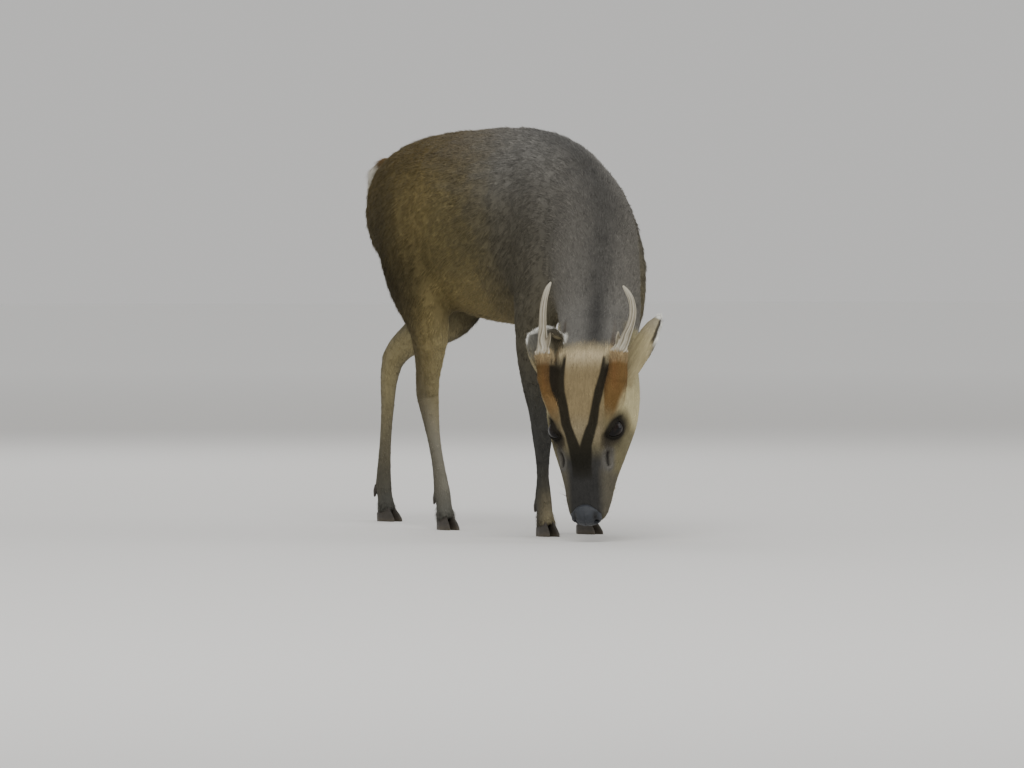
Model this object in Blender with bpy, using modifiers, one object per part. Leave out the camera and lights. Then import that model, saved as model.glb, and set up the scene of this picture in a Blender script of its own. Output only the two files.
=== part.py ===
"""A Reeves's muntjac buck, life size, stepping forward with its head down to graze. In metres.
It faces -Y, its left is +X, and the origin is under the middle of its box, on the floor."""

import math

import bmesh
import bpy
import numpy as np
from mathutils import Matrix, Vector

# The gap between pieces that meet.
GAP = 0.0003

# The trunk, from the rump to the breast: y, top, bottom, half width, squareness and
# how much wider the lower half is.
TRUNK = [
    (0.374, 0.404, 0.360, 0.014, 2.0, 0.00),
    (0.366, 0.420, 0.342, 0.030, 2.0, 0.00),
    (0.345, 0.441, 0.318, 0.046, 2.1, 0.00),
    (0.310, 0.454, 0.298, 0.059, 2.2, 0.05),
    (0.255, 0.465, 0.280, 0.067, 2.2, 0.08),
    (0.200, 0.470, 0.263, 0.072, 2.2, 0.10),
    (0.150, 0.470, 0.252, 0.076, 2.2, 0.12),
    (0.100, 0.472, 0.244, 0.078, 2.2, 0.14),
    (0.050, 0.471, 0.240, 0.078, 2.2, 0.16),
    (0.000, 0.466, 0.240, 0.075, 2.2, 0.20),
    (-0.050, 0.452, 0.245, 0.067, 2.2, 0.22),
    (-0.095, 0.428, 0.257, 0.056, 2.1, 0.20),
    (-0.128, 0.398, 0.275, 0.046, 2.0, 0.10),
    (-0.148, 0.365, 0.297, 0.033, 2.0, 0.00),
]

# The head's own axes: the muzzle's direction, the head's left and the forehead's outward direction.
POLL = Vector((-0.0913, -0.2465, 0.2261))
MUZZLE_WAY = Vector((-0.1926, -0.2236, -0.956))
HEAD_LEFT = Vector((0.6752, -0.7362, 0.0362))

# The neck: centre, half width, half depth, and how far its sections have turned with the head.
NECK = [
    ((0.000, -0.015, 0.362), 0.058, 0.078, 0.00),
    ((-0.002, -0.072, 0.348), 0.058, 0.084, 0.05),
    ((-0.011, -0.120, 0.323), 0.056, 0.078, 0.25),
    ((-0.026, -0.161, 0.287), 0.052, 0.065, 0.55),
    ((-0.0425, -0.1965, 0.248), 0.047, 0.049, 0.85),
    ((-0.058, -0.217, 0.213), 0.043, 0.041, 1.00),
    ((-0.062, -0.223, 0.182), 0.039, 0.035, 1.00),
]

# The skull and flesh of the head, from behind the crown to the lips: distance from the poll,
# top, bottom, half width, squareness and how much wider the lower half is.
HEAD = [
    (-0.026, -0.020, -0.094, 0.040, 2.0, 0.00),
    (-0.010, -0.008, -0.097, 0.044, 2.1, 0.00),
    (0.008, 0.000, -0.096, 0.046, 2.2, -0.02),
    (0.035, 0.005, -0.094, 0.050, 2.3, 0.02),
    (0.065, 0.004, -0.092, 0.0515, 2.3, 0.02),
    (0.090, -0.001, -0.088, 0.0490, 2.3, -0.02),
    (0.110, -0.008, -0.083, 0.0435, 2.3, -0.04),
    (0.128, -0.015, -0.078, 0.0375, 2.3, -0.04),
    (0.146, -0.021, -0.073, 0.0315, 2.3, -0.02),
    (0.162, -0.027, -0.069, 0.0275, 2.3, 0.00),
    (0.177, -0.032, -0.065, 0.0250, 2.4, 0.00),
    (0.189, -0.037, -0.061, 0.0205, 2.2, 0.00),
]

# Fore leg from the shoulder blade to the coronet: x, y, z, half width, half depth, squareness.
RIGHT_FORE = [
    (-0.038, -0.018, 0.425, 0.012, 0.028, 2.0),
    (-0.046, -0.046, 0.385, 0.019, 0.044, 2.0),
    (-0.052, -0.074, 0.335, 0.022, 0.050, 2.1),
    (-0.056, -0.086, 0.290, 0.023, 0.047, 2.1),
    (-0.060, -0.085, 0.250, 0.022, 0.037, 2.1),
    (-0.061, -0.081, 0.215, 0.0180, 0.0270, 2.1),
    (-0.058, -0.079, 0.175, 0.0140, 0.0190, 2.1),
    (-0.052, -0.079, 0.135, 0.0105, 0.0130, 2.1),
    (-0.049, -0.080, 0.110, 0.0102, 0.0120, 2.4),
    (-0.048, -0.079, 0.092, 0.0082, 0.0094, 2.3),
    (-0.047, -0.078, 0.066, 0.0069, 0.0080, 2.2),
    (-0.046, -0.077, 0.048, 0.0088, 0.0100, 2.2),
    (-0.046, -0.077, 0.040, 0.0097, 0.0110, 2.2),
    (-0.046, -0.080, 0.028, 0.0094, 0.0092, 2.2),
    (-0.046, -0.084, 0.012, 0.0107, 0.0105, 2.2),
    (-0.046, -0.086, 0.002, 0.0107, 0.0115, 2.2),
]
LEFT_FORE = [
    (0.038, -0.018, 0.425, 0.012, 0.028, 2.0),
    (0.046, -0.046, 0.385, 0.019, 0.044, 2.0),
    (0.052, -0.072, 0.335, 0.022, 0.050, 2.1),
    (0.055, -0.082, 0.290, 0.023, 0.047, 2.1),
    (0.056, -0.076, 0.250, 0.022, 0.037, 2.1),
    (0.053, -0.068, 0.215, 0.0180, 0.0270, 2.1),
    (0.048, -0.060, 0.175, 0.0140, 0.0190, 2.1),
    (0.042, -0.054, 0.135, 0.0105, 0.0130, 2.1),
    (0.039, -0.052, 0.110, 0.0102, 0.0120, 2.4),
    (0.037, -0.048, 0.092, 0.0082, 0.0094, 2.3),
    (0.034, -0.043, 0.066, 0.0069, 0.0080, 2.2),
    (0.032, -0.040, 0.048, 0.0088, 0.0100, 2.2),
    (0.031, -0.039, 0.040, 0.0097, 0.0110, 2.2),
    (0.031, -0.042, 0.028, 0.0094, 0.0092, 2.2),
    (0.031, -0.046, 0.012, 0.0107, 0.0105, 2.2),
    (0.031, -0.048, 0.002, 0.0107, 0.0115, 2.2),
]
# Hind leg from the hip to the coronet.
RIGHT_HIND = [
    (-0.032, 0.258, 0.425, 0.020, 0.042, 2.0),
    (-0.040, 0.244, 0.385, 0.030, 0.070, 2.1),
    (-0.047, 0.220, 0.340, 0.033, 0.072, 2.2),
    (-0.055, 0.197, 0.300, 0.031, 0.059, 2.2),
    (-0.060, 0.176, 0.264, 0.027, 0.041, 2.2),
    (-0.057, 0.171, 0.234, 0.022, 0.030, 2.2),
    (-0.046, 0.190, 0.204, 0.0165, 0.0228, 2.2),
    (-0.034, 0.214, 0.178, 0.0128, 0.0185, 2.3),
    (-0.027, 0.227, 0.158, 0.0118, 0.0175, 2.4),
    (-0.027, 0.221, 0.137, 0.0100, 0.0130, 2.4),
    (-0.031, 0.206, 0.110, 0.0077, 0.0093, 2.3),
    (-0.038, 0.182, 0.076, 0.0070, 0.0083, 2.2),
    (-0.043, 0.166, 0.052, 0.0087, 0.0100, 2.2),
    (-0.045, 0.160, 0.042, 0.0096, 0.0110, 2.2),
    (-0.047, 0.152, 0.029, 0.0092, 0.0092, 2.2),
    (-0.049, 0.144, 0.013, 0.0105, 0.0105, 2.2),
    (-0.049, 0.140, 0.002, 0.0105, 0.0115, 2.2),
]
LEFT_HIND = [
    (0.032, 0.266, 0.425, 0.020, 0.042, 2.0),
    (0.040, 0.268, 0.385, 0.030, 0.070, 2.1),
    (0.047, 0.276, 0.340, 0.033, 0.078, 2.2),
    (0.054, 0.290, 0.300, 0.031, 0.064, 2.2),
    (0.057, 0.312, 0.266, 0.027, 0.046, 2.2),
    (0.053, 0.344, 0.243, 0.021, 0.033, 2.2),
    (0.046, 0.375, 0.228, 0.0160, 0.0240, 2.2),
    (0.039, 0.401, 0.214, 0.0128, 0.0185, 2.3),
    (0.034, 0.420, 0.197, 0.0118, 0.0165, 2.4),
    (0.032, 0.426, 0.176, 0.0100, 0.0130, 2.4),
    (0.030, 0.427, 0.140, 0.0077, 0.0093, 2.3),
    (0.027, 0.428, 0.090, 0.0070, 0.0083, 2.2),
    (0.025, 0.428, 0.054, 0.0087, 0.0100, 2.2),
    (0.024, 0.427, 0.042, 0.0096, 0.0110, 2.2),
    (0.023, 0.421, 0.028, 0.0092, 0.0092, 2.2),
    (0.022, 0.414, 0.013, 0.0105, 0.0105, 2.2),
    (0.022, 0.411, 0.002, 0.0105, 0.0115, 2.2),
]
# Each half of a hoof: length, width, and the height, setting back and size of its sections.
CLAW_LENGTH = 0.033
CLAW_WIDTH = 0.0108
CLAW_APART = 0.0005
CLAW_FORWARD = 0.004
CLAW_LEVELS = [
    (0.0, 0.0, 1.0),
    (0.0035, -0.0006, 1.0),
    (0.009, -0.0030, 0.95),
    (0.016, -0.0065, 0.88),
    (0.024, -0.0105, 0.80),
]
# Which way the toes point, how high the coronet is over the floor and how it slopes.
TOES_OUT = 0.12
CORONET_HIGH = 0.0125
CORONET_SLOPE = 0.30
# A dewclaw: how far behind the pastern and to each side, how far it hangs down and back, and the
# half sizes of its root, middle and tip.
DEWCLAW_BACK = 0.0085
DEWCLAW_ASIDE = 0.0055
DEWCLAW_DROP = (-0.003, 0.001, -0.012)
DEWCLAW_SIZES = [(0.0030, 0.0034), (0.0031, 0.0034), (0.0014, 0.0018)]
# How many rows down each leg it parts from the body, at the knee or hock, and at the fetlock.
FORE_PARTS = (4.9, 7.45, 10.7)
HIND_PARTS = (5.2, 7.3, 11.6)
# The tail, hanging on the rump: centre, half width, half thickness.
TAIL = [
    ((0.000, 0.334, 0.426), 0.012, 0.0110),
    ((-0.002, 0.357, 0.429), 0.016, 0.0125),
    ((-0.004, 0.372, 0.420), 0.020, 0.0120),
    ((-0.005, 0.3785, 0.403), 0.019, 0.0095),
    ((-0.005, 0.3790, 0.383), 0.0155, 0.0085),
    ((-0.005, 0.3755, 0.360), 0.012, 0.0075),
    ((-0.005, 0.370, 0.340), 0.008, 0.0060),
    ((-0.005, 0.367, 0.328), 0.003, 0.0030),
]

# Head details, in the head's own axes: left, distance from the poll, height above the poll.
EYE_CENTRE = (0.0312, 0.0975, -0.0222)
EYE_RADIUS = 0.0120
EYE_LOOK = (0.82, 0.24, 0.52)
EYE_SLIT = (-0.60, 0.78, 0.20)
EYE_OPENING = (0.0112, 0.0080, 0.0130)
LID = 0.0011
LID_WHOLE = 0.62
LID_FADES = 0.10
LID_REACH = 2.0
# The brow ridge, the hair-covered stalk that carries the antler, the antler and its brow
# tine: centre, radius.
RIDGE = [
    ((0.0285, 0.088, -0.0150), 0.0080),
    ((0.0315, 0.076, -0.0105), 0.0115),
    ((0.0355, 0.058, -0.0055), 0.0140),
    ((0.0395, 0.040, 0.0000), 0.0130),
    ((0.0415, 0.032, 0.0040), 0.0110),
]
PEDICLE = [
    ((0.0400, 0.044, 0.001), 0.0125),
    ((0.0415, 0.034, 0.004), 0.0112),
    ((0.0440, 0.018, 0.010), 0.0092),
]
ANTLER = [
    ((0.0440, 0.0180, 0.0105), 0.0082),
    ((0.0455, 0.0070, 0.0140), 0.0062),
    ((0.0475, -0.0080, 0.0175), 0.0046),
    ((0.0490, -0.0280, 0.0190), 0.0038),
    ((0.0482, -0.0460, 0.0165), 0.0032),
    ((0.0452, -0.0590, 0.0135), 0.0024),
    ((0.0430, -0.0650, 0.0110), 0.0010),
]
# How far each beam leans out at its tip for its length, how far it bows out halfway, and how long it is.
LEFT_SET = (0.03, 0.0105, 0.91)
RIGHT_SET = (-0.035, -0.0030, 1.0)
TINE = [
    ((0.0410, 0.0100, 0.0150), 0.0032),
    ((0.0385, 0.0030, 0.0185), 0.0024),
    ((0.0372, -0.0030, 0.0210), 0.0008),
]
# Each ear: centre, half width, half depth. The way its opening faces follows.
RIGHT_EAR = [
    ((-0.030, 0.048, -0.0140), 0.0105, 0.0105),
    ((-0.038, 0.036, -0.0130), 0.0135, 0.0115),
    ((-0.0435, 0.022, -0.0105), 0.0188, 0.0120),
    ((-0.0460, 0.009, -0.0080), 0.0222, 0.0115),
    ((-0.0468, -0.002, -0.0070), 0.0236, 0.0100),
    ((-0.0466, -0.0095, -0.0075), 0.0218, 0.0078),
    ((-0.0460, -0.0145, -0.0085), 0.0130, 0.0045),
]
RIGHT_EAR_FACES = (0.0, -0.18, 0.98)
LEFT_EAR = [
    ((0.032, 0.050, -0.026), 0.0120, 0.0115),
    ((0.0405, 0.037, -0.028), 0.0155, 0.0130),
    ((0.0495, 0.021, -0.030), 0.0185, 0.0130),
    ((0.0580, 0.005, -0.032), 0.0215, 0.0130),
    ((0.0655, -0.011, -0.032), 0.0200, 0.0115),
    ((0.0715, -0.0235, -0.0315), 0.0145, 0.0085),
    ((0.0755, -0.0315, -0.0305), 0.0055, 0.0040),
]
LEFT_EAR_FACES = (0.78, 0.10, -0.60)
# The cup of each ear: how far out of the ear's middle, how much narrower and shallower than the
# ear, and how far its tip stays back from the ear's.
CUP_OUT = 0.0062
CUP_RIM = 0.0024
CUP_SHALLOWER = 0.0008
CUP_SHORT = 0.004
# Where the head parts from the neck, in the head's axes, and the neck from the trunk: a point
# in the thin cut and the way it faces.
HEAD_CUT_AT = (0, -0.022, -0.045)
HEAD_CUT_WAY = (0, 1, 0.2)
NECK_CUT_AT = (-0.010, -0.114, 0.330)
NECK_CUT_WAY = (-0.25, -0.80, -0.42)
# The mouth line and the cut that ends the lower jaw: distance from the poll, height.
MOUTH_LINE = [(0.220, -0.0565), (0.192, -0.0560), (0.170, -0.0555), (0.150, -0.0570), (0.137, -0.0625)]
CHIN_CUT = [(0.126, -0.0760), (0.116, -0.1050)]
NOSE_CENTRE = (0.0, 0.1915, -0.0450)
NOSE_RADII = (0.0172, 0.0112, 0.0135)
NOSTRIL_CENTRE = (0.0105, 0.2000, -0.0440)
NOSTRIL_RADII = (0.0034, 0.0050, 0.0044)
# The gland's slit in front of each eye.
GLAND_CENTRE = (0.0260, 0.131, -0.0235)
GLAND_RADII = (0.006, 0.013, 0.0065)
GLAND_PRESS = (-0.0028, 0.0, -0.0030)
# Rounded masses of the head, left and right: name, centre, radii.
HEAD_MASSES = [
    ("orbit", EYE_CENTRE, (0.0134, 0.0134, 0.0134)),
    ("brow", (0.0315, 0.083, -0.0155), (0.011, 0.022, 0.011)),
    ("cheek", (0.030, 0.064, -0.054), (0.0185, 0.046, 0.034)),
    ("lip", (0.0125, 0.170, -0.049), (0.0130, 0.028, 0.0125)),
    ("nostril_wing", (0.0090, 0.1845, -0.0435), (0.0095, 0.012, 0.0100)),
]
TUSK = [
    ((0.0225, 0.160, -0.0520), 0.0022),
    ((0.0238, 0.158, -0.0600), 0.0019),
    ((0.0242, 0.154, -0.0675), 0.0007),
]

# Edges that turn by more than this are drawn sharp.
SHARP_ABOVE = math.radians(40)

# Voxel sizes of the two finer wholes, and how many triangles each keeps.
BODY_VOXEL = 0.0035
HEAD_VOXEL = 0.0017
BLEND_ROUNDS = 40
BLEND_FROM = 0.235
BLEND_OVER = 0.05
HEAD_BLEND_ROUNDS = 14
LIMB_MARGIN = 0.0060
LIMB_OUTWARD = 0.016
BODY_TRIANGLES = 3000
HEAD_TRIANGLES = 2800


def clear_scene():
    for item in list(bpy.data.objects):
        bpy.data.objects.remove(item, do_unlink=True)


def new_collection(name):
    found = bpy.data.collections.new(name)
    bpy.context.scene.collection.children.link(found)
    return found


def mesh_object(name, points, faces, collection):
    mesh = bpy.data.meshes.new(name)
    mesh.from_pydata([tuple(point) for point in points], [], [tuple(face) for face in faces])
    mesh.update()
    item = bpy.data.objects.new(name, mesh)
    collection.objects.link(item)
    return item


def spline(rows, count):
    """The rows of numbers drawn out to this many along a smooth line through them."""
    rows = np.array(rows, float)
    steps = np.linalg.norm(np.diff(rows[:, :3], axis=0), axis=1)
    along = np.concatenate([[0.0], np.cumsum(steps)])
    slopes = np.gradient(rows, along, axis=0)
    out = []
    for t in np.linspace(0.0, along[-1], count):
        k = min(np.searchsorted(along, t, side="right") - 1, len(rows) - 2)
        span = along[k + 1] - along[k]
        u = (t - along[k]) / span
        a = 2 * u**3 - 3 * u**2 + 1
        b = u**3 - 2 * u**2 + u
        c = -2 * u**3 + 3 * u**2
        d = u**3 - u**2
        out.append(a * rows[k] + b * span * slopes[k] + c * rows[k + 1] + d * span * slopes[k + 1])
    return np.array(out)


def ring_of(centre, side, up, half_side, half_up, squareness, spread, count):
    points = []
    for k in range(count):
        angle = 2 * math.pi * k / count
        c = math.cos(angle)
        s = math.sin(angle)
        x = math.copysign(abs(c) ** (2 / squareness), c) * half_side * (1 - spread * s)
        y = math.copysign(abs(s) ** (2 / squareness), s) * half_up
        points.append(centre + side * x + up * y)
    return points


def loft(name, rows, sides, collection, count=24, rings=32, dome=(1.0, 1.0)):
    """A closed tube. Each row is a centre, half side, half up, squareness and spread."""
    table = np.array([list(row) + list(side) for row, side in zip(rows, sides)], float)
    table = spline(table, rings)
    centres = table[:, :3]
    ways = np.gradient(centres, axis=0)
    ways /= np.linalg.norm(ways, axis=1)[:, None]
    points = []
    last = len(table) - 1
    order = [(0, -1, step) for step in range(3)] + [(k, 0, 0) for k in range(last + 1)]
    order += [(last, 1, 2 - step) for step in range(3)]
    for k, end, step in order:
        row = table[k]
        way = Vector(ways[k])
        side = Vector(row[7:10])
        side = (side - way * side.dot(way)).normalized()
        up = way.cross(side)
        share = 1.0
        centre = Vector(centres[k])
        if end:
            turn = math.pi / 2 * (3 - step - 0.35) / 3
            share = math.cos(turn)
            reach = dome[0 if end < 0 else 1] * min(row[3], row[4]) * math.sin(turn)
            centre = centre + way * end * reach
        points += ring_of(centre, side, up, row[3] * share, row[4] * share, row[5], row[6], count)
    total = len(order)
    faces = []
    for r in range(total - 1):
        for k in range(count):
            a = r * count + k
            b = r * count + (k + 1) % count
            faces.append((a, b, b + count, a + count))
    faces.append(tuple(reversed(range(count))))
    faces.append(tuple((total - 1) * count + k for k in range(count)))
    item = mesh_object(name, points, faces, collection)
    face_out(item)
    return item


def face_out(item):
    work = bmesh.new()
    work.from_mesh(item.data)
    bmesh.ops.recalc_face_normals(work, faces=work.faces)
    if work.calc_volume(signed=True) < 0:
        bmesh.ops.reverse_faces(work, faces=work.faces)
    work.to_mesh(item.data)
    work.free()
    item.data.update()


def ball(name, centre, radii, matrix, collection, columns=20, rows=12):
    points = [Vector((0, 0, 1))]
    for r in range(1, rows):
        for c in range(columns):
            a = math.pi * r / rows
            b = 2 * math.pi * c / columns
            points.append(Vector((math.sin(a) * math.cos(b), math.sin(a) * math.sin(b), math.cos(a))))
    points.append(Vector((0, 0, -1)))
    faces = []
    for c in range(columns):
        d = (c + 1) % columns
        faces.append((0, 1 + c, 1 + d))
        base = 1 + (rows - 2) * columns
        faces.append((len(points) - 1, base + d, base + c))
        for r in range(rows - 2):
            a = 1 + r * columns
            faces.append((a + c, a + columns + c, a + columns + d, a + d))
    radii = Vector(radii)
    centre = Vector(centre)
    placed = [matrix @ (centre + Vector((p.x * radii.x, p.y * radii.y, p.z * radii.z))) for p in points]
    item = mesh_object(name, placed, faces, collection)
    face_out(item)
    return item


def apply_modifiers(item):
    bpy.context.view_layer.update()
    graph = bpy.context.evaluated_depsgraph_get()
    mesh = bpy.data.meshes.new_from_object(item.evaluated_get(graph))
    item.modifiers.clear()
    old = item.data
    item.data = mesh
    bpy.data.meshes.remove(old)
    return item


def joined(name, items, collection):
    points = []
    faces = []
    for item in items:
        base = len(points)
        points += [tuple(item.matrix_world @ v.co) for v in item.data.vertices]
        faces += [tuple(base + k for k in p.vertices) for p in item.data.polygons]
    return mesh_object(name, points, faces, collection)


def remeshed(item, voxel):
    step = item.modifiers.new("Whole", "REMESH")
    step.mode = "VOXEL"
    step.voxel_size = voxel
    step.adaptivity = 0.0
    return apply_modifiers(item)


def points_of(item):
    found = np.empty(len(item.data.vertices) * 3)
    item.data.vertices.foreach_get("co", found)
    return found.reshape(-1, 3)


def set_points(item, points):
    item.data.vertices.foreach_set("co", np.ascontiguousarray(points, float).ravel())
    item.data.update()


def smoothed(item, rounds, pull=0.5, push=-0.52):
    """Evens the surface out without shrinking it much."""
    edges = np.empty(len(item.data.edges) * 2, int)
    item.data.edges.foreach_get("vertices", edges)
    edges = edges.reshape(-1, 2)
    points = points_of(item)
    count = np.bincount(edges.ravel(), minlength=len(points))[:, None]
    for _ in range(rounds):
        for share in (pull, push):
            total = np.zeros_like(points)
            for axis in range(3):
                total[:, axis] += np.bincount(edges[:, 0], points[edges[:, 1], axis], len(points))
                total[:, axis] += np.bincount(edges[:, 1], points[edges[:, 0], axis], len(points))
            points = points + share * (total / count - points)
    set_points(item, points)
    return item


def softened(item, rounds, low=None):
    """Blends the limbs into the trunk: plain smoothing, from the belly up."""
    edges = np.empty(len(item.data.edges) * 2, int)
    item.data.edges.foreach_get("vertices", edges)
    edges = edges.reshape(-1, 2)
    points = points_of(item)
    count = np.bincount(edges.ravel(), minlength=len(points))[:, None]
    low = BLEND_FROM if low is None else low
    for _ in range(rounds):
        share = np.clip((points[:, 2:3] - low) / BLEND_OVER, 0, 1) * 0.5
        total = np.zeros_like(points)
        for axis in range(3):
            total[:, axis] += np.bincount(edges[:, 0], points[edges[:, 1], axis], len(points))
            total[:, axis] += np.bincount(edges[:, 1], points[edges[:, 0], axis], len(points))
        points = points + share * (total / count - points)
    set_points(item, points)
    return item


def thinned(item, triangles):
    item.data.calc_loop_triangles()
    step = item.modifiers.new("Thin", "DECIMATE")
    step.ratio = triangles / len(item.data.loop_triangles)
    step.use_collapse_triangulate = True
    return apply_modifiers(item)


def boolean(item, other, operation):
    step = item.modifiers.new("Cut", "BOOLEAN")
    step.operation = operation
    step.solver = "EXACT"
    step.object = other
    return apply_modifiers(item)


def grown(item, by, collection):
    """A copy whose surface stands this far out, to cut a neighbour with the gap."""
    work = bmesh.new()
    work.from_mesh(item.data)
    work.normal_update()
    points = [v.co + v.normal * by for v in work.verts]
    faces = [tuple(v.index for v in f.verts) for f in work.faces]
    work.free()
    return mesh_object(item.name + "_grown", points, faces, collection)


def slab(name, centre, normal, along, half_length, half_height, collection):
    """A thin cutter: its middle, the way it faces, one direction in it and its two half sizes."""
    normal = Vector(normal).normalized()
    along = Vector(along)
    along = (along - normal * along.dot(normal)).normalized()
    across = normal.cross(along)
    middle = Vector(centre)
    points = []
    for i in (-1, 1):
        for j in (-1, 1):
            for k in (-1, 1):
                corner = middle + normal * i * GAP / 2
                points.append(corner + along * j * half_length + across * k * half_height)
    faces = [(0, 1, 3, 2), (4, 6, 7, 5), (0, 4, 5, 1), (2, 3, 7, 6), (0, 2, 6, 4), (1, 5, 7, 3)]
    item = mesh_object(name, points, faces, collection)
    face_out(item)
    return item


def islands(item, collection):
    """The loose pieces of a mesh, each as its own object, with their middles."""
    work = bmesh.new()
    work.from_mesh(item.data)
    work.verts.ensure_lookup_table()
    seen = set()
    found = []
    for start in work.verts:
        if start.index in seen:
            continue
        seen.add(start.index)
        stack = [start]
        members = []
        while stack:
            v = stack.pop()
            members.append(v)
            for edge in v.link_edges:
                w = edge.other_vert(v)
                if w.index not in seen:
                    seen.add(w.index)
                    stack.append(w)
        place = {v.index: k for k, v in enumerate(members)}
        faces = {f for v in members for f in v.link_faces}
        faces = sorted(faces, key=lambda f: f.index)
        rows = [tuple(place[v.index] for v in f.verts) for f in faces]
        found.append(mesh_object("piece", [v.co for v in members], rows, collection))
    work.free()
    return found


def head_matrix():
    way = MUZZLE_WAY.normalized()
    left = (HEAD_LEFT - way * HEAD_LEFT.dot(way)).normalized()
    out = way.cross(left)
    matrix = Matrix.Identity(4)
    for row in range(3):
        matrix[row][0] = left[row]
        matrix[row][1] = way[row]
        matrix[row][2] = out[row]
        matrix[row][3] = POLL[row]
    return matrix


HEAD_FRAME = head_matrix()


def in_head(point):
    return HEAD_FRAME @ Vector(point)


def head_way(way):
    return (HEAD_FRAME.to_3x3() @ Vector(way)).normalized()


def on_side(place, sign):
    """A place or a direction in the head's axes, as it is on the left or the right."""
    return Vector((sign * place[0], place[1], place[2]))


def head_tube(name, rows, collection, count=16, rings=12, dome=(1.0, 1.0), mirror=1):
    """A round tube in the head's axes; each row is a centre and a radius."""
    placed = []
    for (x, s, h), radius in rows:
        placed.append([*in_head((x * mirror, s, h)), radius, radius, 2.0, 0.0])
    side = head_way((1, 0, 0))
    return loft(name, placed, [side] * len(placed), collection, count, rings, dome)


def antler_set(rows, sign):
    """The rows of a beam or tine as this side's antler leans and bows."""
    splay, bow, length = LEFT_SET if sign == 1 else RIGHT_SET
    root = ANTLER[0][0][1]
    reach = root - ANTLER[-1][0][1]
    placed = []
    for (x, s, h), radius in rows:
        gone = (root - s) / reach
        x += splay * (root - s) + bow * math.sin(math.pi * gone)
        placed.append(((x, root + (s - root) * length, h), radius))
    return placed


def sculpt(points, centre, radii, move):
    """Moves the points near a place in the head's axes, by a smooth share of the whole move."""
    share = np.exp(-(((points - np.array(centre)) / np.array(radii)) ** 2).sum(axis=1))
    return points + share[:, None] * np.array(move)


def lidded(points, centre, look):
    """Lays the skin round an eye onto a ball a lid's thickness bigger than the eye."""
    away = points - np.array(centre)
    reach = np.linalg.norm(away, axis=1)
    facing = away @ np.array(look) / reach
    share = np.clip((facing - LID_FADES) / (LID_WHOLE - LID_FADES), 0, 1)
    near = np.clip((EYE_RADIUS * LID_REACH - reach) / (EYE_RADIUS * (LID_REACH - 1.15)), 0, 1)
    share = share * share * (3 - 2 * share) * near * near * (3 - 2 * near)
    return points + (share * (EYE_RADIUS + LID - reach) / reach)[:, None] * away


def limb_cutter(name, rows, extra, collection):
    """The leg's own loft made bigger, and reaching out past the skin above the belly."""
    made = []
    for x, y, z, half, depth, square in rows:
        outward = LIMB_OUTWARD * min(max((z - 0.225) / 0.05, 0), 1)
        middle = x + math.copysign(outward, x)
        margin = LIMB_MARGIN + extra
        made.append([middle, y, z, half + margin + outward, depth + margin, square])
    return leg_loft(name, made, collection, 14, 16)


def clipped(item, point, normal):
    """Keeps what lies behind the plane, with a flat face there."""
    work = bmesh.new()
    work.from_mesh(item.data)
    geometry = work.verts[:] + work.edges[:] + work.faces[:]
    bmesh.ops.bisect_plane(work, geom=geometry, plane_co=point, plane_no=normal, clear_outer=True)
    edges = [edge for edge in work.edges if edge.is_boundary]
    bmesh.ops.holes_fill(work, edges=edges, sides=0)
    bmesh.ops.triangulate(work, faces=work.faces[:])
    bmesh.ops.recalc_face_normals(work, faces=work.faces[:])
    work.to_mesh(item.data)
    work.free()
    item.data.update()
    return item


def volume_of(item):
    work = bmesh.new()
    work.from_mesh(item.data)
    volume = work.calc_volume(signed=True)
    work.free()
    return volume


def largest(item, collection):
    """The item with only its largest closed surface."""
    pieces = islands(item, collection)
    pieces.sort(key=volume_of)
    kept = pieces.pop()
    for piece in pieces:
        bpy.data.objects.remove(piece, do_unlink=True)
    item.data = kept.data
    bpy.data.objects.remove(kept, do_unlink=True)
    return item


def fitted(item, others, collection):
    """The item cut back so that it meets each of the others across the gap."""
    for other in others:
        tool = grown(other, GAP, collection)
        boolean(item, tool, "DIFFERENCE")
        bpy.data.objects.remove(tool, do_unlink=True)
    return largest(item, collection)


def copy_of(item, name, collection):
    twin = bpy.data.objects.new(name, item.data.copy())
    collection.objects.link(twin)
    return twin


def leg_loft(name, rows, collection, count, rings):
    placed = [list(row) + [0.0] for row in rows]
    return loft(name, placed, [(1, 0, 0)] * len(rows), collection, count, rings, dome=(0.6, 0.2))


def leg_place(rows, where):
    """The middle of the leg this many rows down, and the way it runs there."""
    table = np.array(rows, float)[:, :3]
    k = int(where)
    share = where - k
    point = table[k] * (1 - share) + table[k + 1] * share
    way = Vector(table[k + 1] - table[k]).normalized()
    return Vector(point), way


def claw(name, middle, forward, side, sign, collection):
    """One half of the hoof: flat below, pointed in front, its wall leaning back."""
    count = 12
    points = []
    for height, back, share in CLAW_LEVELS:
        for k in range(count):
            angle = 2 * math.pi * k / count
            c = math.cos(angle)
            s = math.sin(angle)
            f = CLAW_LENGTH / 2 * c * share + back
            g = CLAW_WIDTH / 2 * s * (1 - 0.38 * c) * share
            place = middle + forward * f + side * (sign * (CLAW_WIDTH / 2 + CLAW_APART) + g)
            points.append(Vector((place.x, place.y, height)))
    top = (len(CLAW_LEVELS) - 1) * count
    faces = [tuple(reversed(range(count))), tuple(top + k for k in range(count))]
    for r in range(len(CLAW_LEVELS) - 1):
        for k in range(count):
            a = r * count + k
            b = r * count + (k + 1) % count
            faces.append((a, b, b + count, a + count))
    item = mesh_object(name, points, faces, collection)
    face_out(item)
    return item


MATERIALS = {}


def material(name, colour, roughness=0.9):
    if name not in MATERIALS:
        made = bpy.data.materials.new(name)
        made.use_nodes = True
        shader = made.node_tree.nodes["Principled BSDF"]
        shader.inputs["Base Color"].default_value = (*colour, 1.0)
        shader.inputs["Roughness"].default_value = roughness
        MATERIALS[name] = made
    return MATERIALS[name]


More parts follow.
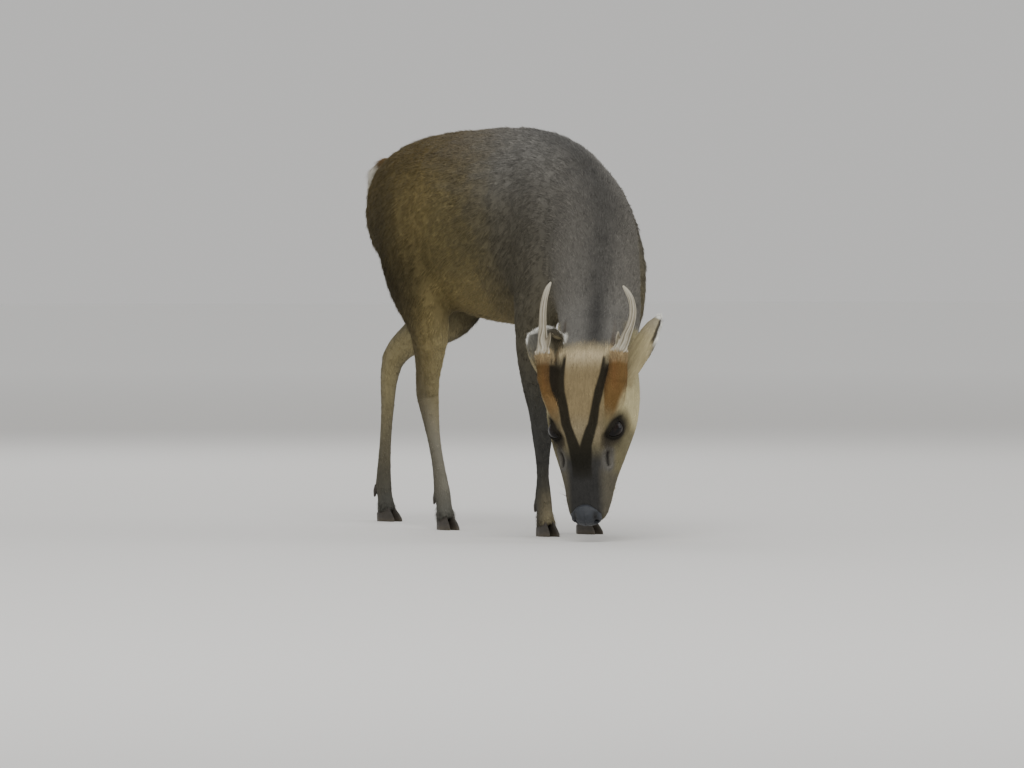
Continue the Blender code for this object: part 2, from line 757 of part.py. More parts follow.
COAT = ("Coat", (0.20, 0.15, 0.10), 0.9)
DARK_COAT = ("Dark coat", (0.07, 0.05, 0.04), 0.9)
HORN = ("Horn", (0.04, 0.035, 0.03), 0.5)
BONE = ("Antler", (0.45, 0.38, 0.28), 0.6)
EYE = ("Eye", (0.01, 0.008, 0.006), 0.1)
NOSE = ("Nose", (0.02, 0.018, 0.018), 0.35)
TUSK_IVORY = ("Tusk", (0.75, 0.70, 0.58), 0.4)


def build():
    clear_scene()
    parts = new_collection("Muntjac")
    tools = new_collection("Cutters")
    tools.hide_render = True
    keep = []

    def shown_round(item):
        item.data.shade_smooth()
        item.data.set_sharp_from_angle(angle=SHARP_ABOVE)

    def part_from(item, name, look):
        item.name = name
        item.data.name = name
        for holder in list(item.users_collection):
            holder.objects.unlink(item)
        parts.objects.link(item)
        item.data.materials.clear()
        item.data.materials.append(material(*look))
        keep.append(item)
        return item

    # The trunk, neck, head and limbs as one whole.
    trunk_rows = []
    for y, top, bottom, half, square, spread in TRUNK:
        trunk_rows.append([0.0, y, (top + bottom) / 2, half, (top - bottom) / 2, square, spread])
    trunk = loft("trunk", trunk_rows, [(1, 0, 0)] * len(TRUNK), tools, 40, 60)
    left = HEAD_FRAME.to_3x3() @ Vector((1, 0, 0))
    neck_rows = []
    neck_sides = []
    for centre, half, depth, turn in NECK:
        neck_rows.append([*centre, half, depth, 2.1, 0.0])
        neck_sides.append(Vector((1, 0, 0)).lerp(left, turn).normalized())
    neck = loft("neck_whole", neck_rows, neck_sides, tools, 36, 30)
    head_rows = []
    for s, top, bottom, half, square, spread in HEAD:
        centre = in_head((0, s, (top + bottom) / 2))
        head_rows.append([*centre, half, (top - bottom) / 2, square, spread])
    skull = loft("skull", head_rows, [left] * len(HEAD), tools, 40, 50, dome=(0.8, 0.75))
    legs = {
        "right_fore": RIGHT_FORE,
        "left_fore": LEFT_FORE,
        "right_hind": RIGHT_HIND,
        "left_hind": LEFT_HIND,
    }
    lofts = {name: leg_loft(name, rows, tools, 13, 34) for name, rows in legs.items()}
    whole = joined("body_whole", [trunk, neck, skull, *lofts.values()], tools)
    remeshed(whole, BODY_VOXEL)
    smoothed(whole, 10)
    softened(whole, BLEND_ROUNDS)
    thinned(whole, BODY_TRIANGLES)

    # The limbs part from it along their own swelling, the neck and the head along thin planes.
    joints = {}
    limbs = []
    for name, rows in legs.items():
        parting = FORE_PARTS if name.endswith("fore") else HIND_PARTS
        joints[name] = [leg_place(rows, where) for where in parting]
        limb = copy_of(whole, "limb", tools)
        boolean(limb, limb_cutter("inner", rows, -GAP, tools), "INTERSECT")
        point, way = joints[name][0]
        clipped(limb, point - way * GAP / 2, way)
        largest(limb, tools)
        limbs.append(limb)
        part_from(limb, name.replace("fore", "upper_arm").replace("hind", "thigh"), COAT)
        boolean(whole, limb_cutter("outer", rows, GAP, tools), "DIFFERENCE")
    head_cut = (in_head(HEAD_CUT_AT), head_way(HEAD_CUT_WAY))
    neck_cut = (NECK_CUT_AT, NECK_CUT_WAY)
    boolean(whole, slab("cut_head", *head_cut, left, 0.075, 0.075, tools), "DIFFERENCE")
    boolean(whole, slab("cut_neck", *neck_cut, (1, 0, 0), 0.13, 0.16, tools), "DIFFERENCE")
    pieces = islands(whole, tools)

    # The lower legs, cut from the same lofts.
    for name, rows in legs.items():
        fore = name.endswith("fore")
        (top, top_way), (knee, knee_way), (low, low_way) = joints[name]
        foot = Vector(rows[-1][:3])
        forward = Vector((-TOES_OUT if name.startswith("right") else TOES_OUT, -1, 0)).normalized()
        side = Vector((0, 0, 1)).cross(forward)
        coronet = foot + Vector((0, 0, CORONET_HIGH))
        slope = (Vector((0, 0, -1)) + forward * CORONET_SLOPE).normalized()
        names = ("shank", "hind_cannon", "hind_pastern")
        if fore:
            names = ("forearm", "fore_cannon", "fore_pastern")
        side_name = name.split("_")[0]
        spans = (
            (top, top_way, knee, knee_way),
            (knee, knee_way, low, low_way),
            (low, low_way, coronet, slope),
        )
        made = []
        for piece_name, (a, a_way, b, b_way) in zip(names, spans):
            piece = copy_of(lofts[name], piece_name, tools)
            clipped(piece, a + a_way * GAP / 2, -a_way)
            clipped(piece, b - b_way * GAP / 2, b_way)
            largest(piece, tools)
            made.append(part_from(piece, f"{side_name}_{piece_name}", DARK_COAT))
        limbs.append(made[0])
        where = "fore" if fore else "hind"
        outward = 1 if side_name == "left" else -1
        for sign in (1, -1):
            inner = "outer" if sign * side.x * outward > 0 else "inner"
            hoof = claw("claw", foot + forward * CLAW_FORWARD, forward, side, sign, tools)
            clipped(hoof, coronet + slope * GAP / 2, -slope)
            part_from(hoof, f"{side_name}_{where}_{inner}_claw", HORN)
            base = Vector(rows[-4][:3]) - forward * DEWCLAW_BACK + side * sign * DEWCLAW_ASIDE
            back, aside, down = DEWCLAW_DROP
            tip = base + Vector((0, 0, down)) + forward * back + side * sign * aside
            spur_rows = []
            for place, (half, thick) in zip((base, base.lerp(tip, 0.5), tip), DEWCLAW_SIZES):
                spur_rows.append([*place, half, thick, 2.0, 0.0])
            spur = loft("spur", spur_rows, [side] * 3, tools, 5, 3)
            fitted(spur, [made[2]], tools)
            part_from(spur, f"{side_name}_{where}_{inner}_dewclaw", HORN)

    # The torso and the neck, from what is left of the whole.
    for name, place in (("torso", (0.0, 0.10, 0.36)), ("neck", (-0.03, -0.16, 0.29))):
        away = [np.linalg.norm(points_of(piece).mean(axis=0) - np.array(place)) for piece in pieces]
        piece = pieces.pop(int(np.argmin(away)))
        part_from(fitted(piece, limbs, tools), name, COAT)

    # The head, finer, with its own masses.
    masses = [skull, neck]
    for sign in (1, -1):
        for name, (x, along, height), radii in HEAD_MASSES:
            masses.append(ball(name, (sign * x, along, height), radii, HEAD_FRAME, tools))
        masses.append(head_tube("ridge", RIDGE, tools, 16, 12, mirror=sign))
    head = joined("head_whole", masses, tools)
    clipped(head, in_head((0, -0.06, -0.045)), -head_way((0, 1, 0)))
    remeshed(head, HEAD_VOXEL)
    smoothed(head, 8)
    softened(head, HEAD_BLEND_ROUNDS, -1.0)
    inverse = np.array(HEAD_FRAME.inverted())
    frame = np.array(HEAD_FRAME)
    local = points_of(head) @ inverse[:3, :3].T + inverse[:3, 3]
    for sign in (1, -1):
        local = sculpt(local, on_side(GLAND_CENTRE, sign), GLAND_RADII, on_side(GLAND_PRESS, sign))
        local = lidded(local, on_side(EYE_CENTRE, sign), on_side(EYE_LOOK, sign).normalized())
    set_points(head, local @ frame[:3, :3].T + frame[:3, 3])
    thinned(head, HEAD_TRIANGLES)
    clipped(head, head_cut[0] + head_cut[1] * GAP / 2, -head_cut[1])

    # Eyes in their sockets, the lids open in front of them.
    for sign, name in ((1, "left"), (-1, "right")):
        centre = on_side(EYE_CENTRE, sign)
        look = on_side(EYE_LOOK, sign).normalized()
        slit = on_side(EYE_SLIT, sign)
        slit = (slit - look * slit.dot(look)).normalized()
        rise = look.cross(slit)
        turn = Matrix.Identity(4)
        for row in range(3):
            turn[row][0] = slit[row]
            turn[row][1] = rise[row]
            turn[row][2] = look[row]
        place = HEAD_FRAME @ Matrix.Translation(centre + look * EYE_RADIUS) @ turn
        opening = ball("opening", (0, 0, 0), EYE_OPENING, place, tools, 18, 8)
        boolean(head, opening, "DIFFERENCE")
        eye = ball(f"eye_{name}", centre, (EYE_RADIUS,) * 3, HEAD_FRAME, tools, 16, 9)
        tool = grown(eye, GAP, tools)
        boolean(head, tool, "DIFFERENCE")
        part_from(eye, f"{name}_eye", EYE)

    # The mouth line parts the lower jaw.
    line = spline([(0.0, s, h) for s, h in MOUTH_LINE], 14)[:, 1:]
    line = np.concatenate([line, np.array(CHIN_CUT)])
    steps = np.gradient(line, axis=0)
    steps /= np.linalg.norm(steps, axis=1)[:, None]
    across = np.stack([-steps[:, 1], steps[:, 0]], axis=1) * GAP / 2
    rim = np.concatenate([line + across, (line - across)[::-1]])
    count = len(rim)
    points = [in_head((x, s, h)) for x in (-0.06, 0.06) for s, h in rim]
    faces = [tuple(range(count)), tuple(reversed(range(count, 2 * count)))]
    faces += [(k, (k + 1) % count, count + (k + 1) % count, count + k) for k in range(count)]
    sheet = mesh_object("mouth_cut", points, faces, tools)
    face_out(sheet)
    boolean(head, sheet, "DIFFERENCE")
    pieces = islands(head, tools)
    pieces.sort(key=volume_of)
    head = part_from(pieces.pop(), "head", COAT)
    jaw = part_from(pieces.pop(), "lower_jaw", COAT)

    # What stands on the head.
    nose = ball("nose", NOSE_CENTRE, NOSE_RADII, HEAD_FRAME, tools, 14, 8)
    for sign in (1, -1):
        hole = ball("nostril", on_side(NOSTRIL_CENTRE, sign), NOSTRIL_RADII, HEAD_FRAME, tools, 8, 6)
        boolean(nose, hole, "DIFFERENCE")
    fitted(nose, [head, jaw], tools)
    part_from(nose, "nose", NOSE)
    for sign, name in ((1, "left"), (-1, "right")):
        pedicle = head_tube("pedicle", PEDICLE, tools, 10, 4, mirror=sign)
        antler = head_tube("antler", antler_set(ANTLER, sign), tools, 9, 15, mirror=sign)
        low = Vector(ANTLER[0][0])
        high = Vector(ANTLER[1][0])
        way = head_way((sign * (high - low).x, (high - low).y, (high - low).z))
        seat = in_head(on_side(low, sign))
        clipped(pedicle, seat - way * GAP / 2, way)
        clipped(antler, seat + way * GAP / 2, -way)
        ear_rows = LEFT_EAR if sign == 1 else RIGHT_EAR
        faces_to = head_way(LEFT_EAR_FACES if sign == 1 else RIGHT_EAR_FACES)
        placed = [[*in_head(middle), half, depth, 2.0, 0.0] for middle, half, depth in ear_rows]
        way_along = (Vector(placed[-1][:3]) - Vector(placed[0][:3])).normalized()
        side = faces_to.cross(way_along).normalized()
        ear = loft("ear", placed, [side] * len(placed), tools, 15, 11)
        cup_rows = []
        for middle, half, depth in ear_rows[1:]:
            centre = in_head(middle) + faces_to * CUP_OUT
            narrower = max(half - CUP_RIM, 0.0012)
            shallower = max(depth - CUP_SHALLOWER, 0.0012)
            cup_rows.append([*centre, narrower, shallower, 2.0, 0.0])
        cup_rows[-1][:3] = Vector(cup_rows[-1][:3]) - way_along * CUP_SHORT
        cup = loft("cup", cup_rows, [side] * len(cup_rows), tools, 14, 11, dome=(0.6, 0.6))
        boolean(ear, cup, "DIFFERENCE")
        fitted(ear, [head, bpy.data.objects["neck"]], tools)
        fitted(pedicle, [head, ear], tools)
        part_from(ear, f"{name}_ear", COAT)
        part_from(pedicle, f"{name}_pedicle", COAT)
        tine = head_tube("tine", antler_set(TINE, sign), tools, 6, 4, mirror=sign)
        fitted(antler, [pedicle], tools)
        part_from(antler, f"{name}_antler_beam", BONE)
        fitted(tine, [antler, pedicle], tools)
        part_from(tine, f"{name}_brow_tine", BONE)
        tusk = head_tube("tusk", TUSK, tools, 6, 4, mirror=sign)
        fitted(tusk, [head, jaw], tools)
        part_from(tusk, f"{name}_tusk", TUSK_IVORY)

    # The tail on the rump.
    tail_rows = [[*centre, half, depth, 2.0, 0.0] for centre, half, depth in TAIL]
    tail = loft("tail", tail_rows, [(1, 0, 0)] * len(TAIL), tools, 14, 11)
    torso = bpy.data.objects["torso"]
    fitted(tail, [torso, bpy.data.objects["left_thigh"], bpy.data.objects["right_thigh"]], tools)
    part_from(tail, "tail", COAT)

    # Everything onto the floor, with the origin under the middle of the box.
    low = np.min([points_of(item).min(axis=0) for item in keep], axis=0)
    high = np.max([points_of(item).max(axis=0) for item in keep], axis=0)
    shift = np.array([(low[0] + high[0]) / 2, (low[1] + high[1]) / 2, low[2]])
    print("moved by", [round(float(v), 5) for v in -shift])
    for item in keep:
        set_points(item, points_of(item) - shift)
        shown_round(item)
    for item in list(tools.objects):
        bpy.data.objects.remove(item, do_unlink=True)


build()
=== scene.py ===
import math

import bmesh
import bpy
import numpy as np
from mathutils import Matrix, Vector
from mathutils.bvhtree import BVHTree
from mathutils.kdtree import KDTree


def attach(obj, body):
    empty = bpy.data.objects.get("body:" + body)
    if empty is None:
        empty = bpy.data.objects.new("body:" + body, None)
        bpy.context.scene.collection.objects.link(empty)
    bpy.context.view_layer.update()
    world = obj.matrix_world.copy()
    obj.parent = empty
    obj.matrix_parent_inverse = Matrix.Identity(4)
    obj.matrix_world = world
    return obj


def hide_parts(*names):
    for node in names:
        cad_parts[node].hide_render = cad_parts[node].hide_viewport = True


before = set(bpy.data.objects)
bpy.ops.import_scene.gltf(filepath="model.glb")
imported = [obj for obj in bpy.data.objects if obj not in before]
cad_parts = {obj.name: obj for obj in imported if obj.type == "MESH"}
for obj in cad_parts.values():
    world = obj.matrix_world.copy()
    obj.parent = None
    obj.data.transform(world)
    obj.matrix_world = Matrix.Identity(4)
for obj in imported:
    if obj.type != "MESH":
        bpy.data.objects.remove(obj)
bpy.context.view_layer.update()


# The room: a muntjac buck that stands as mounted in a museum, on a plain pale floor in soft
# light, seen from the place of the photograph, low and eight metres off.
VIEW_TURN = math.radians(-30.0)
VIEW_RISE = math.radians(1.0)
VIEW_FAR = 8.0
PIXELS_A_METRE = 865.0
FLOOR_POINT = Vector((0.02806, -0.06882, 0.0))
FLOOR_PIXEL = (544.0, 533.0)
FRAME_PIXELS = (1024.0, 768.0)

view_back = Vector(
    (
        math.sin(VIEW_TURN) * math.cos(VIEW_RISE),
        -math.cos(VIEW_TURN) * math.cos(VIEW_RISE),
        math.sin(VIEW_RISE),
    )
)
view_right = Vector((math.cos(VIEW_TURN), math.sin(VIEW_TURN), 0.0))
view_up = view_back.cross(view_right)
aim = FLOOR_POINT + view_right * ((FRAME_PIXELS[0] / 2 - FLOOR_PIXEL[0]) / PIXELS_A_METRE)
aim += view_up * ((FLOOR_PIXEL[1] - FRAME_PIXELS[1] / 2) / PIXELS_A_METRE)
camera_data = bpy.data.cameras.new("photo_view")
camera = bpy.data.objects.new("photo_view", camera_data)
bpy.context.collection.objects.link(camera)
camera.matrix_world = Matrix.Translation(aim + view_back * VIEW_FAR) @ (
    Matrix((view_right, view_up, view_back)).transposed().to_4x4()
)
camera_data.sensor_width = 36.0
camera_data.lens = 36.0 * PIXELS_A_METRE * VIEW_FAR / FRAME_PIXELS[0]
camera_data.clip_end = 60.0
bpy.context.scene.camera = camera


class Wire:
    """One socket of a node tree, so that a finish is written as plain sums."""

    def __init__(self, tree, socket):
        self.tree = tree
        self.socket = socket

    def sum(self, operation, first, second=0.0):
        return put(self.tree, "ShaderNodeMath", {"operation": operation}, {0: first, 1: second})

    def __add__(self, other):
        return self.sum("ADD", self, other)

    def __radd__(self, other):
        return self.sum("ADD", other, self)

    def __sub__(self, other):
        return self.sum("SUBTRACT", self, other)

    def __rsub__(self, other):
        return self.sum("SUBTRACT", other, self)

    def __mul__(self, other):
        return self.sum("MULTIPLY", self, other)

    def __rmul__(self, other):
        return self.sum("MULTIPLY", other, self)


def put(tree, kind, settings=None, values=None, out=0):
    """Adds a node of any type: its settings first, then the numbers or wires of its sockets."""
    node = tree.nodes.new(kind)
    for name, value in (settings or {}).items():
        if name == "stops":
            ramp = node.color_ramp
            while len(ramp.elements) < len(value):
                ramp.elements.new(0.5)
            for element, (place, tone) in zip(ramp.elements, value):
                element.position = place
                element.color = (*tone, 1.0)
        else:
            setattr(node, name, value)
    for key, value in (values or {}).items():
        if isinstance(value, Wire):
            tree.links.new(value.socket, node.inputs[key])
        else:
            node.inputs[key].default_value = value
    return Wire(tree, node.outputs[out])


def finish(name, rough=0.5, **constants):
    """A new material, its tree and its surface node, with the numbers that are the same all over."""
    material = bpy.data.materials.new(name)
    material.use_nodes = True
    surface = material.node_tree.nodes["Principled BSDF"]
    surface.inputs["Roughness"].default_value = rough
    for key, value in constants.items():
        surface.inputs[key.replace("_", " ")].default_value = value
    return material, material.node_tree, surface


def feed(tree, surface, **wires):
    """Links what varies over the surface: colour, roughness or bump."""
    for key, wire in wires.items():
        tree.links.new(wire.socket, surface.inputs[key.replace("_", " ")])


def tint(tree, colour, factor):
    """A colour made lighter or darker by a wire."""
    return put(tree, "ShaderNodeVectorMath", {"operation": "SCALE"}, {0: colour, "Scale": factor})


def blend(tree, factor, first, second):
    """One colour going over into another."""
    settings = {"data_type": "RGBA", "clamp_factor": True}
    return put(tree, "ShaderNodeMix", settings, {0: factor, 6: first, 7: second}, out=2)


def srgb(red, green, blue):
    """A colour read as on a screen, 0 to 255, as the light that it reflects."""
    tone = np.array((red, green, blue), float) / 255.0
    return np.where(tone <= 0.04045, tone / 12.92, ((tone + 0.055) / 1.055) ** 2.4)


floor_mesh = bpy.data.meshes.new("floor")
floor_mesh.from_pydata([(-40, -40, 0), (40, -40, 0), (40, 40, 0), (-40, 40, 0)], [], [(0, 1, 2, 3)])
floor = bpy.data.objects.new("floor", floor_mesh)
bpy.context.collection.objects.link(floor)
floor_finish, tree, surface = finish("pale_floor", 0.85)
grain = put(tree, "ShaderNodeTexNoise", {}, {"Scale": 3.0, "Detail": 3.0})
where = put(tree, "ShaderNodeTexCoord", out=3)
far_off = put(tree, "ShaderNodeVectorMath", {"operation": "LENGTH"}, {0: where}, out=1)
paler = put(tree, "ShaderNodeMapRange", {}, {"Value": far_off, 1: 2.0, 2: 12.0, 3: 0.0, 4: 1.0})
floor_tone = blend(tree, grain, (0.70, 0.69, 0.67, 1), (0.76, 0.75, 0.73, 1))
feed(tree, surface, Base_Color=blend(tree, paler, floor_tone, (0.97, 0.97, 0.96, 1)))
floor_mesh.materials.append(floor_finish)


def soft_light(name, place, size, watts, aim_at=(0.03, 0.0, 0.25)):
    data = bpy.data.lights.new(name, "AREA")
    data.size = size
    data.energy = watts
    light = bpy.data.objects.new(name, data)
    bpy.context.collection.objects.link(light)
    light.location = place
    light.rotation_euler = (Vector(aim_at) - Vector(place)).to_track_quat("-Z", "Y").to_euler()


soft_light("key", (-1.6, -2.6, 3.2), 2.6, 95.0)
soft_light("fill", (2.8, -2.0, 1.6), 2.4, 28.0)
soft_light("back", (0.8, 2.8, 2.6), 2.4, 45.0)
world = bpy.context.scene.world or bpy.data.worlds.new("room")
bpy.context.scene.world = world
world.use_nodes = True
world.node_tree.nodes["Background"].inputs["Color"].default_value = (1.0, 0.99, 0.97, 1)
world.node_tree.nodes["Background"].inputs["Strength"].default_value = 0.62


# The hide: one skin over the whole body, from the lips to the hoofs, as a taxidermist fits it
# without a seam. It is shaped from the solids of flesh, smoothed over the cuts between them,
# and lies under them by the depth of the coat. Lids, glands, lips and folds are pressed in.
EARS = ["left_ear", "right_ear"]
STALKS = ["left_pedicle", "right_pedicle"]
ARMS = ["left_upper_arm", "right_upper_arm"]
THIGHS = ["left_thigh", "right_thigh"]
SIDES = ("left", "right")
FORE_LEGS = [f"{side}_{part}" for side in SIDES for part in ("forearm", "fore_cannon", "fore_pastern")]
HIND_LEGS = [f"{side}_{part}" for side in SIDES for part in ("shank", "hind_cannon", "hind_pastern")]
LEGS = ARMS + THIGHS + FORE_LEGS + HIND_LEGS
FLESH = ["torso", "neck", "head", "lower_jaw", "tail"] + EARS + STALKS + LEGS
EYES = ["left_eye", "right_eye"]
UNDER_HIDE = FLESH + ["nose"] + EYES
HEAD_PARTS = ["head", "lower_jaw", "nose"] + STALKS
SEAM_SWELL = 0.0005
SEAM_ROUNDS = 36
SEAM_REFILL = 0.0007
HIDE_VOXEL = 0.0013
HIDE_TRIANGLES = 186000
SMOOTH_ROUNDS = 45
# How much each solid's skin is smoothed, and how deep its coat is, in metres.
EASE = {"head": 0.45, "lower_jaw": 0.4, "nose": 0.3, "tail": 0.8}
EASE.update({name: 0.16 for name in EARS})
EASE.update({name: 0.10 for name in EYES})
EASE.update({name: 0.6 for name in STALKS + FORE_LEGS + HIND_LEGS})
DEPTH = {"torso": 0.0020, "neck": 0.0018, "tail": 0.0018, "head": 0.0007, "lower_jaw": 0.0007}
DEPTH.update({name: 0.0018 for name in ARMS + THIGHS})
DEPTH.update({name: 0.0009 for name in FORE_LEGS + HIND_LEGS})
DEPTH.update({name: 0.0003 for name in EARS})
DEPTH.update({name: 0.0006 for name in STALKS})
DEPTH.update({"nose": 0.0015, "left_eye": 0.0, "right_eye": 0.0})

# The head's own axes: its left, the way of the muzzle, and out of the forehead.
POLL = np.array((-0.06324, -0.31532, 0.2261))
muzzle_way = Vector((-0.1926, -0.2236, -0.956)).normalized()
head_left = Vector((0.6752, -0.7362, 0.0362)).normalized()
head_out = muzzle_way.cross(head_left).normalized()
head_left = head_out.cross(muzzle_way)
HEAD_AXES = np.array((head_left, muzzle_way, head_out))
EYE_CENTRE = np.array((0.0312, 0.0975, -0.0222))
EYE_RADIUS = 0.0120
EYE_LOOK = np.array((0.82, 0.24, 0.52))
EYE_SLIT = np.array((-0.60, 0.78, 0.20))
EYE_OPENING = (0.0118, 0.0070)
GLAND_ENDS = ((0.0262, 0.1250, -0.0240), (0.0268, 0.1380, -0.0290))
# The line of the mouth, as pairs of the way down the muzzle and the way out of the forehead.
MOUTH = ((0.137, -0.0660), (0.150, -0.0608), (0.163, -0.0598), (0.192, -0.0575), (0.220, -0.0570))


def read(mesh, attribute, field, width=3, kind=np.float32):
    flat = np.empty(len(getattr(mesh, attribute)) * width, kind)
    getattr(mesh, attribute).foreach_get(field, flat)
    return flat.reshape(-1, width)


def in_head(points):
    """Places in the room as the head has them: its left, down the muzzle, out of the forehead."""
    return (points - POLL) @ HEAD_AXES.T


def in_room(local):
    return local @ HEAD_AXES + POLL


def unit(rows, least=1e-6):
    """The same directions with a length of one."""
    return rows / np.maximum(np.linalg.norm(rows, axis=1), least)[:, None]


def write_points(mesh, points):
    mesh.vertices.foreach_set("co", points.astype(np.float32).ravel())
    mesh.update()


def clean_solid(name):
    """Points, triangles and outward normals of a solid, its loose triangles joined."""
    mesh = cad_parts[name].data
    mesh.calc_loop_triangles()
    points = read(mesh, "vertices", "co").astype(float)
    corners = read(mesh, "loop_triangles", "vertices", 3, np.int32)
    _, first, place = np.unique(np.round(points, 6), axis=0, return_index=True, return_inverse=True)
    points = points[first]
    corners = place.reshape(-1)[corners]
    whole = (corners[:, 0] != corners[:, 1]) & (corners[:, 1] != corners[:, 2])
    corners = corners[whole & (corners[:, 2] != corners[:, 0])]
    sides = points[corners[:, 1:]] - points[corners[:, :1]]
    faced = np.cross(sides[:, 0], sides[:, 1])
    normals = np.zeros_like(points)
    for corner in range(3):
        np.add.at(normals, corners[:, corner], faced)
    return points, corners, unit(normals, 1e-15)


def gathered(names, swell):
    """The named solids as one heap of points and triangles, with the solid of each triangle."""
    heap, triangles, owners = [], [], []
    start = 0
    for number, name in enumerate(names):
        points, corners, normals = clean_solid(name)
        heap.append(points + normals * swell)
        triangles.append(corners + start)
        owners += [number] * len(corners)
        start += len(points)
    return np.concatenate(heap), np.concatenate(triangles), np.array(owners)


def new_piece(name, points, faces):
    mesh = bpy.data.meshes.new(name)
    corners = [tuple(int(k) for k in face) for face in faces]
    mesh.from_pydata([tuple(point) for point in points], [], corners)
    mesh.update()
    piece = bpy.data.objects.new(name, mesh)
    bpy.context.collection.objects.link(piece)
    return piece


def made_plain(piece):
    """The piece's live modifiers worked into its mesh."""
    bpy.context.view_layer.update()
    graph = bpy.context.evaluated_depsgraph_get()
    mesh = bpy.data.meshes.new_from_object(piece.evaluated_get(graph))
    old = piece.data
    piece.modifiers.clear()
    piece.data = mesh
    bpy.data.meshes.remove(old)
    mesh.name = piece.name
    return piece


def voxelled(piece, voxel):
    remesh = piece.modifiers.new("even", "REMESH")
    remesh.mode = "VOXEL"
    remesh.voxel_size = voxel
    return made_plain(piece)


def neighbours_of(mesh):
    """The mesh's edges and how many meet at each point."""
    edges = read(mesh, "edges", "vertices", 2, np.int32)
    count = np.bincount(edges.ravel(), minlength=len(mesh.vertices))
    return edges, np.maximum(count, 1)


def spread(values, edges, count):
    """Each point's mean over its neighbours, for one value or several."""
    table = values.reshape(len(values), -1)
    total = np.empty_like(table)
    for column in range(table.shape[1]):
        here = table[:, column]
        total[:, column] = np.bincount(edges[:, 0], here[edges[:, 1]], len(here))
        total[:, column] += np.bincount(edges[:, 1], here[edges[:, 0]], len(here))
    return (total / count[:, None]).reshape(values.shape)


def smoothed(mesh, rounds, weight):
    """Evens out the facets, each shrink followed by a slightly larger swell, so that no limb thins."""
    points = read(mesh, "vertices", "co").astype(float)
    edges, count = neighbours_of(mesh)
    share = weight[:, None] if isinstance(weight, np.ndarray) else weight
    for _ in range(rounds):
        points += 0.55 * share * (spread(points, edges, count) - points)
        points -= 0.57 * share * (spread(points, edges, count) - points)
    write_points(mesh, points)


def step(low, high, value):
    """Goes smoothly from 0 below low to 1 above high."""
    part = np.clip((value - low) / (high - low), 0.0, 1.0)
    return part * part * (3.0 - 2.0 * part)


def bell(value, width):
    return np.exp(-((value / width) ** 2))


def owners_at(points, tree, owners):
    """Which solid the skin at each point belongs to."""
    found = np.empty(len(points), np.int32)
    for number, point in enumerate(points):
        found[number] = owners[tree.find_nearest(point)[2]]
    return found


def normals_of(mesh):
    return read(mesh, "vertex_normals", "vector").astype(float)


heap, heap_faces, heap_owners = gathered(UNDER_HIDE, SEAM_SWELL)
owner_tree = BVHTree.FromPolygons([tuple(p) for p in heap], [tuple(int(k) for k in f) for f in heap_faces])
hide = voxelled(new_piece("hide", heap, heap_faces), HIDE_VOXEL)
points = read(hide.data, "vertices", "co").astype(float)
owner = owners_at(points, owner_tree, heap_owners)
ease = np.array([EASE.get(name, 1.0) for name in UNDER_HIDE])[owner]
local = in_head(points)
throat = step(-0.040, -0.058, local[:, 2]) * step(0.125, 0.105, local[:, 1])
back_of_head = step(0.012, -0.006, local[:, 1])
for place in (throat, back_of_head):
    ease = np.maximum(ease, 0.95 * place * (ease > 0.3))
edges, count = neighbours_of(hide.data)
for _ in range(6):
    ease = spread(ease, edges, count)
smoothed(hide.data, SMOOTH_ROUNDS, ease)
seam = np.zeros(len(points))
seam[edges[owner[edges[:, 0]] != owner[edges[:, 1]]].ravel()] = 2.5
for _ in range(12):
    seam = spread(seam, edges, count)
seam = (np.clip(seam, 0.0, 1.0) * step(0.5, 0.6, ease))[:, None]
eased = read(hide.data, "vertices", "co").astype(float)
for _ in range(SEAM_ROUNDS):
    eased += 0.5 * seam * (spread(eased, edges, count) - eased)
write_points(hide.data, eased)
write_points(hide.data, eased + normals_of(hide.data) * seam * SEAM_REFILL)

# The head and its collar keep their fine mesh, and the plain stretches of body give theirs up.
COLLAR_FINE = 0.028
on_face = np.isin(owner, [UNDER_HIDE.index(name) for name in ["head", "lower_jaw", "nose"] + EYES])
on_neck = owner == UNDER_HIDE.index("neck")
joined = on_neck[edges[:, 0]] & on_face[edges[:, 1]]
joined |= on_neck[edges[:, 1]] & on_face[edges[:, 0]]
collar_line = np.unique(edges[joined])
collar_tree = KDTree(len(collar_line))
for number, place in enumerate(eased[collar_line]):
    collar_tree.insert(place, number)
collar_tree.balance()
by_collar = np.zeros(len(eased), bool)
for number in np.nonzero(on_neck)[0]:
    by_collar[number] = collar_tree.find(eased[number])[2] < COLLAR_FINE
sparse = hide.vertex_groups.new(name="sparse")
body_points = np.nonzero(~on_face & ~by_collar)[0]
ear_points = np.isin(owner, [UNDER_HIDE.index(name) for name in EARS + STALKS])
sparse.add([int(k) for k in body_points[~ear_points[body_points]]], 1.0, "REPLACE")
sparse.add([int(k) for k in np.nonzero(ear_points)[0]], 0.6, "REPLACE")
thin = hide.modifiers.new("thin", "DECIMATE")
thin.ratio = HIDE_TRIANGLES / (2.0 * len(hide.data.polygons))
thin.vertex_group = "sparse"
thin.vertex_group_factor = 8.0
thin.use_collapse_triangulate = True
made_plain(hide)
hide.vertex_groups.clear()

